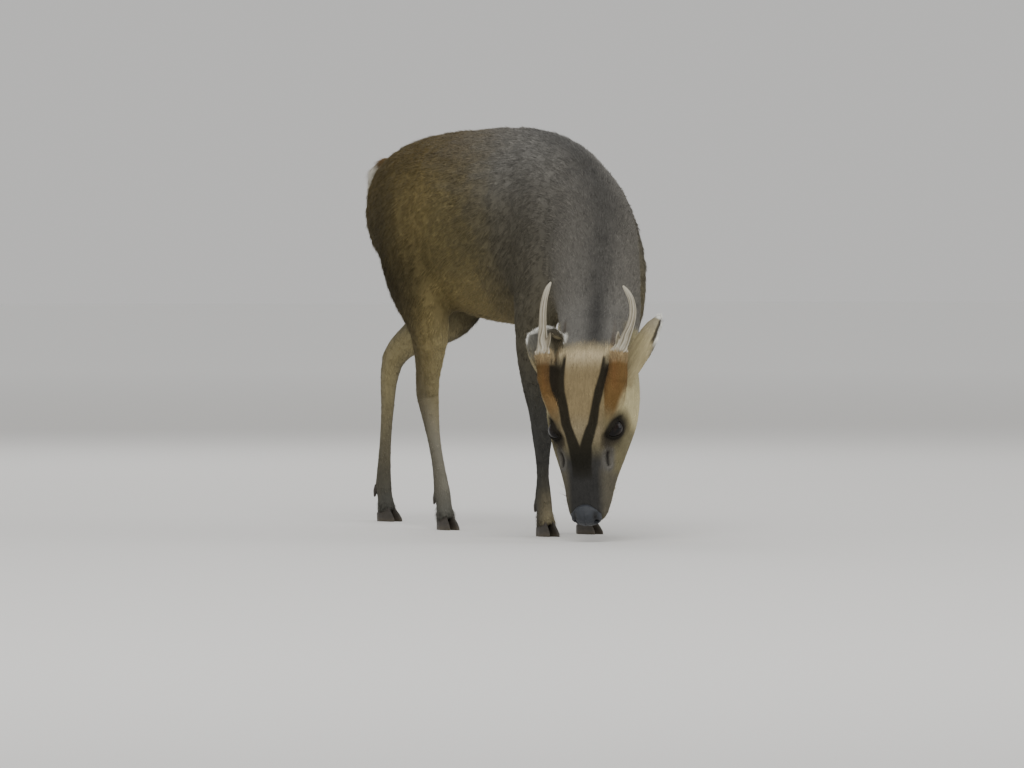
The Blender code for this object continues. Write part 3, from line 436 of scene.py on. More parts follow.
# Finer still round the eyes and along the lips.
eyes = [EYE_CENTRE * (sign, 1, 1) for sign in (1, -1)]
sculpted = bmesh.new()
sculpted.from_mesh(hide.data)
local = in_head(read(hide.data, "vertices", "co"))
close = np.minimum(*[np.linalg.norm(local - eye, axis=1) for eye in eyes]) < 0.0185
lip_line = np.interp(local[:, 1], *zip(*MOUTH))
close |= (np.abs(local[:, 2] - lip_line) < 0.0040) & (local[:, 1] > 0.134) & (local[:, 1] < 0.200)
sculpted.verts.ensure_lookup_table()
split = [edge for edge in sculpted.edges if close[edge.verts[0].index] and close[edge.verts[1].index]]
bmesh.ops.subdivide_edges(sculpted, edges=split, cuts=1, use_grid_fill=True)
bmesh.ops.triangulate(sculpted, faces=[face for face in sculpted.faces if len(face.verts) > 3])
sculpted.to_mesh(hide.data)
sculpted.free()

points = read(hide.data, "vertices", "co").astype(float)
edges, count = neighbours_of(hide.data)
owner = owners_at(points, owner_tree, heap_owners)


def zone(names, rounds):
    """1 on the skin of the named solids and 0 off it, softened over their borders."""
    mask = np.isin(owner, [UNDER_HIDE.index(name) for name in names]).astype(float)
    for _ in range(rounds):
        mask = spread(mask, edges, count)
    return mask


depth = np.array([DEPTH[name] for name in UNDER_HIDE])[owner]
on_neck = owner == UNDER_HIDE.index("neck")
collar = step(0.0, 0.5, zone(["head", "lower_jaw"] + STALKS + EARS, 90))
depth = np.where(on_neck, depth + (DEPTH["head"] - DEPTH["neck"]) * collar, depth)
for _ in range(8):
    depth = spread(depth, edges, count)
points -= normals_of(hide.data) * depth[:, None]
write_points(hide.data, points)


def eye_axes(sign):
    """The eye's centre, the way it looks, the long way of its opening and across it."""
    look = EYE_LOOK * (sign, 1, 1)
    look = look / np.linalg.norm(look)
    along = EYE_SLIT * (sign, 1, 1)
    along = along - look * along.dot(look)
    along /= np.linalg.norm(along)
    return EYE_CENTRE * (sign, 1, 1), look, along, np.cross(along, look) * -sign


def opening_at(local, sign):
    """How far each point is from the middle of the lids' opening: 1 at their edge, more outside."""
    centre, look, along, rise = eye_axes(sign)
    reach = local - centre
    far = np.linalg.norm(reach, axis=1)
    fore = np.clip((reach @ along) / EYE_OPENING[0], -9.0, 9.0)
    narrow = 1.0 - 0.24 * np.clip(fore, -1.0, 1.0)
    side = (reach @ rise) / (EYE_OPENING[1] * narrow)
    open_at = np.hypot(fore / (1.0 + 0.10 * (fore > 0)), side)
    return np.where((reach @ look > 0.0) & (far < 0.030), open_at, 99.0), far, side


# Lids: a rolled edge over the eyeball, with a crease above the upper lid and one below.
local = in_head(points)
opening = np.full(len(points), 99.0)
for sign in (1, -1):
    centre = eye_axes(sign)[0]
    out_at, far, side = opening_at(local, sign)
    opening = np.minimum(opening, out_at)
    rim = EYE_RADIUS - 0.0022 + 0.0032 * step(0.93, 1.04, out_at) + 0.0003 * step(1.1, 1.4, out_at)
    rim -= 0.0007 * bell(out_at - 1.52, 0.10) * step(-0.2, 0.6, side)
    rim -= 0.0004 * bell(out_at - 1.45, 0.10) * step(0.2, -0.6, side)
    mixed = rim + (far - rim) * step(1.45, 2.15, out_at)
    here = out_at < 2.2
    local[here] = centre + (local[here] - centre) * (mixed / far)[here, None]
points = in_room(local)
write_points(hide.data, points)

# The slits of the glands, the lips and the grooves of the stripes on the brow, pressed in along the
# normals.
normals = normals_of(hide.data)
local_normals = normals @ HEAD_AXES.T
across, down, above = local.T
aside = np.abs(across)
press = np.zeros(len(points))
gland_near = np.full(len(points), 1.0)
for sign in (1, -1):
    start = np.array(GLAND_ENDS[0]) * (sign, 1, 1)
    end = np.array(GLAND_ENDS[1]) * (sign, 1, 1)
    part = np.clip(((local - start) @ (end - start)) / ((end - start) @ (end - start)), 0.0, 1.0)
    nearest = start + part[:, None] * (end - start)
    away = local - nearest
    facing = np.array((0.74 * sign, 0.10, 0.66))
    facing /= np.linalg.norm(facing)
    away -= (away @ facing)[:, None] * facing
    away = np.linalg.norm(away, axis=1) + 9.0 * (across * sign < 0.006) + 9.0 * (above < -0.045)
    gland_near = np.minimum(gland_near, away)
press -= 0.0017 * bell(gland_near, 0.0014)
press += 0.0012 * bell(gland_near - 0.0036, 0.0018)
lip_line = np.interp(down, *zip(*MOUTH))
lip_here = step(0.134, 0.141, down) * step(0.215, 0.205, down) * step(0.004, 0.008, aside)
press -= 0.0016 * bell(above - lip_line, 0.0010) * lip_here
press += 0.0006 * bell(np.abs(above - lip_line) - 0.0034, 0.0016) * lip_here
STRIPE_S = (0.026, 0.040, 0.050, 0.060, 0.077, 0.096, 0.105, 0.120, 0.140)
LEFT_STRIPE_X = (0.0285, 0.0280, 0.0260, 0.0236, 0.0200, 0.0172, 0.0132, 0.0070, 0.0030)
LEFT_STRIPE_HALF = (0.0058, 0.0060, 0.0060, 0.0056, 0.0046, 0.0055, 0.0064, 0.0070, 0.0085)
RIGHT_STRIPE_X = (0.0270, 0.0264, 0.0256, 0.0236, 0.0178, 0.0144, 0.0112, 0.0070, 0.0030)
RIGHT_STRIPE_HALF = (0.0075, 0.0073, 0.0076, 0.0070, 0.0058, 0.0062, 0.0060, 0.0070, 0.0085)
midline = np.interp(down, (0.02, 0.06, 0.10, 0.13, 0.19), (-0.0008, -0.0026, -0.0036, -0.0022, 0.0))
left_stripe = across > midline
stripe_x = np.interp(down, STRIPE_S, RIGHT_STRIPE_X)
stripe_x = np.where(left_stripe, np.interp(down, STRIPE_S, LEFT_STRIPE_X), stripe_x)
stripe_off = np.abs(across - midline) - stripe_x
on_brow = step(-0.030, -0.018, above)
press -= 0.0007 * bell(stripe_off, 0.0011) * step(0.050, 0.060, down) * step(0.112, 0.100, down) * on_brow
head_skin = zone(HEAD_PARTS, 2)
points += normals * (press * head_skin)[:, None]
write_points(hide.data, points)


# The coat: its colours, the way it lies and how long it is, by places on the body. Each row has
# the place, its reach, the way of the hair, its length, and the name of its colour.
COAT_TONES = {
    "grey": (117, 115, 110),
    "ash": (103, 100, 94),
    "slate": (82, 78, 66),
    "umber": (70, 63, 43),
    "brown": (86, 73, 40),
    "bark": (46, 41, 27),
    "olive": (94, 86, 55),
    "golden": (150, 134, 88),
    "buff": (104, 96, 72),
    # Painted light and shade: the next two are one leg colour, paler where lit and darker where shaded.
    "tan": (124, 116, 86),
    "dun": (138, 134, 120),
    "fawn": (102, 98, 84),
    "charcoal": (71, 70, 68),
}
COAT_PLACES = [
    ((0.02, 0.26, 0.45), 0.07, (0, 0.85, -0.5), 0.0120, "brown"),
    ((0.02, 0.34, 0.36), 0.06, (0, 0.3, -1), 0.0125, "umber"),
    ((0.03, 0.12, 0.48), 0.09, (0, 1, -0.05), 0.0115, "brown"),
    ((0.03, -0.01, 0.48), 0.045, (0, 1, -0.05), 0.0115, "grey"),
    ((0.03, -0.10, 0.46), 0.08, (0, 1, -0.25), 0.0110, "grey"),
    ((-0.05, 0.19, 0.38), 0.06, (0, 0.85, -0.5), 0.0115, "umber"),
    ((0.11, 0.24, 0.38), 0.06, (0, 0.85, -0.5), 0.0115, "umber"),
    ((-0.06, 0.11, 0.37), 0.05, (0, 0.85, -0.5), 0.0115, "golden"),
    ((0.12, 0.13, 0.37), 0.05, (0, 0.85, -0.5), 0.0115, "golden"),
    ((-0.06, 0.02, 0.34), 0.06, (0, 0.9, -0.4), 0.0110, "olive"),
    ((0.12, 0.02, 0.34), 0.06, (0, 0.9, -0.4), 0.0110, "olive"),
    ((-0.04, 0.02, 0.26), 0.05, (0, 0.9, -0.4), 0.0110, "golden"),
    ((0.10, 0.02, 0.26), 0.05, (0, 0.9, -0.4), 0.0110, "golden"),
    ((0.03, 0.06, 0.230), 0.045, (0, 1, -0.1), 0.0110, "buff"),
    ((-0.05, -0.13, 0.33), 0.06, (0, 0.5, -0.9), 0.0095, "slate"),
    ((0.10, -0.13, 0.33), 0.06, (0, 0.5, -0.9), 0.0095, "slate"),
    ((0.03, -0.20, 0.26), 0.05, (0, 0.25, -1), 0.0090, "tan"),
    ((0.01, -0.20, 0.39), 0.06, (0.25, 0.85, 0.15), 0.0100, "ash"),
    ((-0.02, -0.26, 0.31), 0.06, (0.3, 0.6, 0.7), 0.0085, "ash"),
    ((0.03, -0.24, 0.29), 0.05, (0.35, 0.6, 0.5), 0.0085, "ash"),
    ((-0.055, -0.30, 0.24), 0.04, (0.2, 0.3, 0.95), 0.0060, "grey"),
    ((-0.045, 0.13, 0.32), 0.06, (0, 0.25, -1), 0.0100, "bark"),
    ((0.10, 0.22, 0.32), 0.06, (0, 0.25, -1), 0.0100, "bark"),
    ((-0.045, 0.16, 0.30), 0.05, (0, 0.25, -1), 0.0100, "bark"),
    ((0.10, 0.25, 0.30), 0.05, (0, 0.25, -1), 0.0100, "bark"),
    # Painted light and shade: the right hind leg, in the light, is laid in paler tones than the left one,
    # which stands in the body's shadow.
    ((-0.02, 0.13, 0.20), 0.05, (0, 0.1, -1), 0.0060, "golden"),
    ((0.07, 0.31, 0.21), 0.05, (0, 0.2, -1), 0.0060, "fawn"),
    ((-0.02, 0.12, 0.10), 0.07, (0, 0, -1), 0.0045, "dun"),
    ((0.06, 0.34, 0.10), 0.07, (0, 0, -1), 0.0045, "fawn"),
    ((-0.03, -0.15, 0.20), 0.05, (0, 0.1, -1), 0.0060, "slate"),
    ((0.07, -0.13, 0.20), 0.05, (0, 0.1, -1), 0.0060, "slate"),
    ((-0.02, -0.15, 0.08), 0.07, (0, 0, -1), 0.0045, "charcoal"),
    ((0.06, -0.11, 0.08), 0.07, (0, 0, -1), 0.0045, "charcoal"),
]
weights = np.zeros(len(points))
lie = np.zeros((len(points), 3))
length = np.zeros(len(points))
colour = np.zeros((len(points), 3))
for place, reach, way, hair, tone in COAT_PLACES:
    weight = np.exp(-((np.linalg.norm(points - place, axis=1) / reach) ** 2)) + 1e-9
    weights += weight
    lie += weight[:, None] * np.array(way) / np.linalg.norm(way)
    length += weight * hair
    colour += weight[:, None] * srgb(*COAT_TONES[tone])
lie /= weights[:, None]
length /= weights
colour /= weights[:, None]


def lay(mask, red, green, blue):
    """Lays one more colour of the coat over the ones below it."""
    share = np.clip(mask, 0.0, 1.0)[:, None]
    colour[:] = colour * (1.0 - share) + srgb(red, green, blue) * share


# The dark line down the nape and along the back.
NAPE = [
    (-0.053, -0.321, 0.226),
    (-0.040, -0.303, 0.262),
    (-0.016, -0.273, 0.320),
    (0.013, -0.225, 0.375),
    (0.026, -0.160, 0.425),
    (0.028, -0.100, 0.455),
    (0.028, 0.100, 0.471),
    (0.026, 0.250, 0.457),
]
nape_off = np.full(len(points), 1.0)
for first, second in zip(NAPE, NAPE[1:]):
    first = np.array(first)
    run = np.array(second) - first
    part = np.clip(((points - first) @ run) / (run @ run), 0.0, 1.0)
    away = points - first - part[:, None] * run
    away -= np.sum(away * normals, axis=1)[:, None] * normals
    upward = step(-0.2, 0.2, normals[:, 2] - 0.5 * normals[:, 1])
    nape_off = np.minimum(nape_off, np.linalg.norm(away, axis=1) + 1.0 - upward)
lay(0.90 * bell(nape_off, 0.013) * step(0.05, -0.10, points[:, 1]), 60, 59, 57)
lay(0.35 * bell(nape_off, 0.012) * step(-0.12, 0.0, points[:, 1]), 58, 52, 42)

# Legs: blackish fore legs, a bright tan front to the hind ones, paler patches over the hoofs.
fore = zone(FORE_LEGS, 10)
hind = zone(HIND_LEGS, 10)
height = points[:, 2]
lay(0.75 * fore * step(0.21, 0.14, height), 67, 67, 64)
calm = normals
for _ in range(16):
    calm = spread(calm, edges, count)
calm = unit(calm)
inward = np.where(points[:, 0] > 0.028, -1.0, 1.0) * calm[:, 0]
front = step(0.15, 0.65, 0.65 * inward - 0.76 * calm[:, 1])
hind_high = step(0.09, 0.17, height) * step(0.262, 0.215, height)
hind_all = zone(HIND_LEGS + THIGHS, 12)
lay(0.92 * front * hind_all * hind_high, 158, 146, 108)
rearward = 0.8 * calm[:, 1] - 0.6 * inward
lay(0.72 * step(0.0, 0.55, rearward) * hind_all * step(0.33, 0.26, height), 62, 56, 42)
lay((0.65 * fore + 0.25 * hind) * bell(height - 0.058, 0.020), 66, 64, 60)
lay(0.9 * fore * step(0.044, 0.032, height) * step(-0.2, -0.5, calm[:, 1]), 150, 140, 112)
lay(0.9 * hind * step(0.044, 0.032, height), 86, 86, 81)
hock = bell(np.linalg.norm(points - (-0.0335, 0.133, 0.123), axis=1), 0.010)
lay(0.6 * hock * hind, 152, 118, 100)
inner = zone(THIGHS + ARMS + ["torso"], 8) * step(0.270, 0.215, height)
lay(0.45 * inner * step(0.3, 0.9, inward), 140, 130, 102)
# Painted shade: the lowest band of the torso, under the belly, is laid darker brown.
lay(0.45 * zone(["torso"], 8) * step(0.285, 0.262, height), 84, 76, 54)
for _ in range(14):
    colour = spread(colour, edges, count)

# The tail: chestnut outside, white under and along its edges.
tail = zone(["tail"], 3)
tail_half = np.interp(height, (0.328, 0.360, 0.403, 0.430), (0.004, 0.012, 0.019, 0.015))
tail_side = np.abs(points[:, 0] - 0.0235) / tail_half
lay(tail, 104, 84, 54)
lay(tail * np.maximum(step(0.60, 0.82, tail_side), step(-0.1, -0.5, normals[:, 1])), 214, 210, 198)
tail_skin = tail[:, None] > 0.5
lie = np.where(tail_skin, np.array((0, 0.15, -1)), lie)
length = np.where(tail > 0.5, 0.0150, length)

# The head: tan cheeks, golden forehead, rufous stalks, black stripes in a V, charcoal muzzle.
head = zone(HEAD_PARTS, 5)
face = head * step(0.002, 0.030, down + 0.25 * (above + 0.02))
back_of_face = step(-0.020, -0.045, above)
soft_head = zone(HEAD_PARTS, 70)
face += back_of_face * (step(0.15, 0.95, soft_head) - face)
lay(face, 160, 149, 112)
lay(0.9 * face * step(0.034, 0.044, aside) * step(0.100, 0.080, down), 192, 182, 142)
lay(0.85 * face * step(0.084, 0.102, down) * step(-0.010, -0.028, above), 112, 106, 82)
lay(face * step(-0.060, -0.085, above), 150, 141, 116)
forehead = face * step(0.034, 0.026, np.abs(across - midline)) * step(-0.035, -0.020, above)
forehead *= step(0.128, 0.105, down)
lay(forehead, 136, 121, 90)
lay(0.9 * forehead * bell(down - 0.016, 0.013), 200, 185, 152)
lay(0.5 * forehead * step(0.080, 0.105, down), 142, 133, 110)
rufous_edge = np.interp(down, (0.030, 0.047, 0.096, 0.110), (0.0600, 0.0560, 0.0345, 0.0290))
rufous = step(0.0255, 0.0285, aside) * step(rufous_edge + 0.002, rufous_edge - 0.004, aside)
rufous *= step(-0.022, -0.010, above) * step(0.100, 0.078, down)
lay(head * rufous * step(0.004, 0.018, down), 112, 87, 52)
lay(0.45 * head * rufous * bell(aside - 0.0405, 0.005) * step(0.07, 0.05, down), 114, 79, 49)
lay(0.5 * head * rufous * step(0.055, 0.035, down) * (across < 0), 82, 64, 40)
lay(0.35 * head * rufous * step(0.060, 0.075, down) * (across < 0), 150, 124, 88)
brow = bell(np.hypot(down - 0.086, aside - 0.0285), 0.008) * step(-0.03, -0.012, above)
lay(0.6 * face * brow, 118, 103, 74)
muzzle = face * step(0.110, 0.142, down + 0.45 * (above + 0.028)) * step(0.0265, 0.0185, aside)
lay(0.96 * muzzle * step(-0.052, -0.040, above), 50, 50, 51)
muzzle_side = step(0.135, 0.150, down) * step(0.014, 0.022, aside) * step(-0.056, -0.05, above)
lay(0.85 * face * muzzle_side, 90, 86, 76)
lay(face * step(0.128, 0.140, down) * step(-0.058, -0.063, above), 158, 150, 130)
half = np.interp(down, STRIPE_S, RIGHT_STRIPE_HALF)
half = np.where(left_stripe, np.interp(down, STRIPE_S, LEFT_STRIPE_HALF), half)
shaded_edge = step(0.009, 0.001, stripe_off - half) * step(-0.001, 0.001, stripe_off)
lay(0.55 * head * rufous * shaded_edge * step(0.075, 0.060, down), 76, 58, 38)
stripe = step(half + 0.0011, half - 0.0011, np.abs(stripe_off)) * on_brow
stripe *= step(0.017, 0.022, down) * step(0.160, 0.150, down)
lay(0.95 * head * stripe, 34, 32, 26)
mirrored = np.stack([aside, down, above], axis=1)


def near(place, reach):
    """1 at a place on either side of the face, falling to 0 beyond its reach."""
    return bell(np.linalg.norm(mirrored - place, axis=1), reach)


foot_tuft = near((0.0290, 0.0170, 0.0), 0.0085) * step(0.023, 0.027, aside)
lay(1.2 * foot_tuft * head, 196, 182, 148)
burr_skirt = zone(STALKS, 2) * step(0.034, 0.026, down)
lay(0.7 * burr_skirt, 168, 150, 116)
lay(0.65 * step(2.45, 1.8, opening) * face, 88, 80, 62)
lay(0.80 * bell(np.maximum(gland_near - 0.004, 0.0), 0.0042) * head, 96, 94, 92)
lay(0.85 * near((0.0345, 0.1110, -0.0235), 0.0095) * face, 50, 46, 39)
lay(0.85 * near((0.0262, 0.1165, -0.0195), 0.0075) * face, 40, 37, 34)
lay(0.50 * near((0.0250, 0.0965, -0.0090), 0.0080) * face * (1 - stripe), 84, 76, 56)
lay(0.50 * near((0.0425, 0.0900, -0.0260), 0.0070) * face, 70, 66, 52)
lay(0.95 * step(2.05, 1.50, opening), 34, 32, 29)
# The gland slits and the mouth line are laid near black: partly the dark bare skin along them, partly
# painted shade in the pressed-in creases.
lay(0.85 * bell(gland_near, 0.0013) * head, 26, 24, 24)
lay(0.85 * bell(above - lip_line, 0.0013) * lip_here * head, 26, 24, 23)
lay(zone(["nose"], 5) * 1.6, 38, 39, 42)

# Each ear's middle line from root to tip, its half-widths, and the way its cup faces. The left
# ear is seen edge on, so its rim is told by the way to that edge.
LEFT_EAR_EDGE = (0.837, 0.444, -0.319)
EAR_STATIONS = (0.0, 0.72, 1.0)
EAR_SLICES = 26
EAR_SHAPES = {
    -1: (
        ((-0.030, 0.048, -0.014), (-0.0468, -0.002, -0.007), (-0.0460, -0.0180, -0.0085)),
        (0.0105, 0.0236, 0.0160),
        (0.0, -0.18, 0.98),
    ),
    1: (
        ((0.032, 0.050, -0.026), (0.0580, 0.005, -0.032), (0.0765, -0.0340, -0.0305)),
        (0.0120, 0.0215, 0.0055),
        (0.78, 0.10, -0.60),
    ),
}
ear_inside = np.zeros(len(points))
ear_rim = np.zeros(len(points))
ear_comb = points
COMBED = 0.86
ears = zone(EARS, 2)
for sign, (line, widths, faces_to) in EAR_SHAPES.items():
    here = zone(["left_ear" if sign == 1 else "right_ear"], 2)
    root, tip = np.array(line[0]), np.array(line[2])
    way = (tip - root) / np.linalg.norm(tip - root)
    faces_to = np.array(faces_to) / np.linalg.norm(faces_to)
    side = np.cross(faces_to, way)
    gone = np.clip(((local - root) @ way) / np.linalg.norm(tip - root), 0.0, 1.05)
    middle = np.stack([np.interp(gone, EAR_STATIONS, row) for row in zip(*line)], axis=1)
    half = np.interp(gone, (0.0, 0.35, 0.72, 0.92, 1.0), (widths[0], 0.0170, widths[1], 0.0190, widths[2]))
    out_to = (local - middle) @ side / half
    facing = local_normals @ faces_to
    seen_side = (local - middle) @ (side if sign == -1 else np.array(LEFT_EAR_EDGE))
    outer = (seen_side < 0) & (sign == -1)
    seen_side = np.where(outer, -seen_side, seen_side)
    bins = np.clip((gone * 24).astype(int), 0, EAR_SLICES - 1) + EAR_SLICES * outer
    widest = np.zeros(2 * EAR_SLICES)
    np.maximum.at(widest, bins[here > 0.5], seen_side[here > 0.5])
    edge_near = seen_side / np.maximum(widest[bins], 0.002)
    rim_from = 0.84 if sign == -1 else 0.69
    rim = step(rim_from, rim_from + 0.09, edge_near) * step(0.60, 0.68, gone - 0.14 * outer)
    rim = np.maximum(rim, step(0.945, 0.975, gone))
    inside = here * step(0.15, 0.5, facing) * step(0.42, 0.56, gone)
    ear_inside = np.maximum(ear_inside, inside * (1 - rim))
    ear_rim = np.maximum(ear_rim, rim * here)
    lay(here, 172, 160, 124)
    lay(0.6 * here * step(0.62, 0.90, gone), 132, 127, 116)
    # Painted shade: one half of each ear's cup is laid dark where its hollow is in shade, the other half in
    # the grey of the hair inside it.
    lay(0.9 * inside * step(-0.1 * sign, 0.35 * sign, out_to * sign), 56, 52, 44)
    lay(0.8 * inside * step(0.35, -0.1, out_to), 99, 100, 98)
    lay(0.8 * here * step(0.60, 0.45, gone) * step(0.5, 0.1, out_to * -sign), 150, 138, 108)
    # Painted shade: on the left ear, seen edge on, a dark strip on its back stands for the shaded hollow of
    # its cup.
    if sign == 1:
        lay(0.9 * here * step(0.28, 0.42, edge_near) * step(0.60, 0.70, gone), 52, 48, 42)
    lay(0.95 * rim * here, 222, 221, 214)
    ear_way = way @ HEAD_AXES
    lie = np.where(here[:, None] > 0.5, ear_way, lie)
    combed = points - COMBED * (points @ ear_way)[:, None] * ear_way
    ear_comb = np.where(here[:, None] > 0.5, combed, ear_comb)
length = np.where(ears > 0.5, 0.0035, length)

# On the face the hair runs from the nose up to the crown, shortest at the nose and the lids.
neck = zone(["neck"], 1)
head_way = -np.array(muzzle_way)
share = (head * (1 - ears))[:, None]
lie = lie * (1 - share) + head_way * share
face_hair = np.interp(down, (0.0, 0.04, 0.10, 0.15, 0.19), (0.0055, 0.0046, 0.0036, 0.0027, 0.0016))
face_share = np.where(neck > 0.5, step(0.0, 0.75, soft_head), np.maximum(head, step(0.0, 0.75, soft_head)))
face_share *= 1 - ears
length = length * (1 - face_share) + face_hair * face_share
length *= 1 - 0.5 * step(2.0, 1.2, opening)
lie = unit(lie - np.sum(lie * normals, axis=1)[:, None] * normals)
for _ in range(4):
    lie = spread(lie, edges, count)
lie = unit(lie)


def note(mesh, name, kind, values, domain="POINT"):
    """Stores a number, a direction or a colour for each point of the skin, or each corner."""
    field = {"FLOAT": "value", "FLOAT_VECTOR": "vector", "FLOAT_COLOR": "color"}[kind]
    layer = mesh.attributes.new(name, kind, domain)
    layer.data.foreach_set(field, np.asarray(values, np.float32).ravel())


# Strands of bump run along the hair: points are drawn together along the lie.
comb = points - COMBED * np.sum(points * lie, axis=1)[:, None] * lie
corners = read(hide.data, "loops", "vertex_index", 1, np.int32).reshape(-1, 3)
comb_ways = (comb, local * (1.3, 0.16, 1.3), ear_comb)
comb_way = np.where(ears > 0.5, 2, np.where(head > 0.5, 1, 0))[corners].min(axis=1)
face_comb = np.choose(comb_way[:, None, None], [way[corners] for way in comb_ways])
opaque = np.ones((len(points), 1))
note(hide.data, "coat_colour", "FLOAT_COLOR", np.concatenate([colour, opaque], axis=1))
note(hide.data, "lie", "FLOAT_VECTOR", lie)
note(hide.data, "hair_length", "FLOAT", length)
note(hide.data, "comb", "FLOAT_VECTOR", face_comb, "CORNER")
hide.data.shade_smooth()

# The skin is unwrapped by its own shape, and each tuft keeps the place of its root there.
bpy.context.view_layer.objects.active = hide
hide.select_set(True)
bpy.ops.object.mode_set(mode="EDIT")
bpy.ops.mesh.select_all(action="SELECT")
bpy.ops.uv.smart_project(angle_limit=math.radians(66), island_margin=0.002)
bpy.ops.object.mode_set(mode="OBJECT")
hide.data.uv_layers[0].name = "OFBake"


def kept(tree, name, out=0):
    """What a mesh keeps under a name: a colour (0), a direction (1) or a number (2)."""
    return put(tree, "ShaderNodeAttribute", {"attribute_name": name}, out=out)


def noise(tree, place, scale, detail, out=0):
    sizes = {"Vector": place, "Scale": scale, "Detail": detail}
    return put(tree, "ShaderNodeTexNoise", {}, sizes, out)


def relief(tree, height, strength, distance):
    sizes = {"Height": height, "Strength": strength, "Distance": distance}
    return put(tree, "ShaderNodeBump", {}, sizes)


def ranged(tree, value, low, high, start, end):
    """Goes straight from start to end while the value goes from low to high."""
    return put(tree, "ShaderNodeMapRange", {}, {"Value": value, 1: low, 2: high, 3: start, 4: end})


hide_finish, tree, surface = finish("hide", 0.85, Specular_IOR_Level=0.08)
colour_here = kept(tree, "coat_colour")
comb_here = kept(tree, "comb", 1)
strands = noise(tree, comb_here, 900.0, 2.0)
locks = noise(tree, comb_here, 240.0, 2.0)
where = put(tree, "ShaderNodeTexCoord", out=3)
patches = noise(tree, where, 38.0, 3.0)
tone = 0.26 + strands * 0.56 + locks * 0.40 + patches * 0.26
bump = relief(tree, strands * 0.6 + locks, 0.75, 0.0011)
feed(tree, surface, Base_Color=tint(tree, colour_here, tone), Normal=bump)
hide.data.materials.clear()
hide.data.materials.append(hide_finish)
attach(hide, "root")
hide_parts(*FLESH)


# The coat: short flat hair in fine tufts, each a thin closed spike rooted in the hide and laid
# along the way the hair grows. It is set out by one growth tree, region by region, shortest
# on the face and the legs, and every tuft keeps its root's colour.
COAT_TUFTS = 350000
MOST_A_PIECE = 49500
TUFT_SINK = 0.0005
ROOT_PATCH = 0.003
GROWTH_INPUTS = {
    "Tufts per square metre": 1e5,
    "Width": 0.001,
    "Thickness": 0.0004,
    "Lift": 0.1,
    "Length": 1.0,
    "Disorder": 0.12,
    "Locks": 0.7,
}


def tuft_shape():
    """One tuft of unit length along +Z: a flat three-sided spike that bends outwards on +Y."""
    corners = [(-0.5, 0.0, 0.0), (0.5, 0.0, 0.0), (0.0, 0.5, 0.10), (0.06, 0.10, 1.0)]
    faces = [(0, 2, 3), (2, 1, 3), (1, 0, 3), (0, 1, 2)]
    shape = new_piece("tuft_shape", corners, faces)
    turned = bmesh.new()
    turned.from_mesh(shape.data)
    bmesh.ops.recalc_face_normals(turned, faces=turned.faces)
    turned.to_mesh(shape.data)
    turned.free()
    note(shape.data, "leaf", "FLOAT_VECTOR", [(x + 0.5, z, 0.0) for x, y, z in corners])
    return shape


def coat_finish(name):
    """Hair coloured by its root's place, darker deep down, each tuft a little different."""
    material, tree, surface = finish(name, 0.75, Specular_IOR_Level=0.12)
    root_colour = kept(tree, "coat_colour")
    shade = kept(tree, "shade", 2)
    leaf = kept(tree, "leaf", 1)
    along = put(tree, "ShaderNodeSeparateXYZ", {}, {0: leaf}, out=1)
    band = ranged(tree, along, 0.0, 0.75, 0.74, 1.16)
    where = put(tree, "ShaderNodeTexCoord", out=3)
    patches = noise(tree, where, 38.0, 3.0)
    tone = band * (0.68 + shade * 1.10) * (0.86 + patches * 0.36)
    feed(tree, surface, Base_Color=tint(tree, root_colour, tone))
    return material


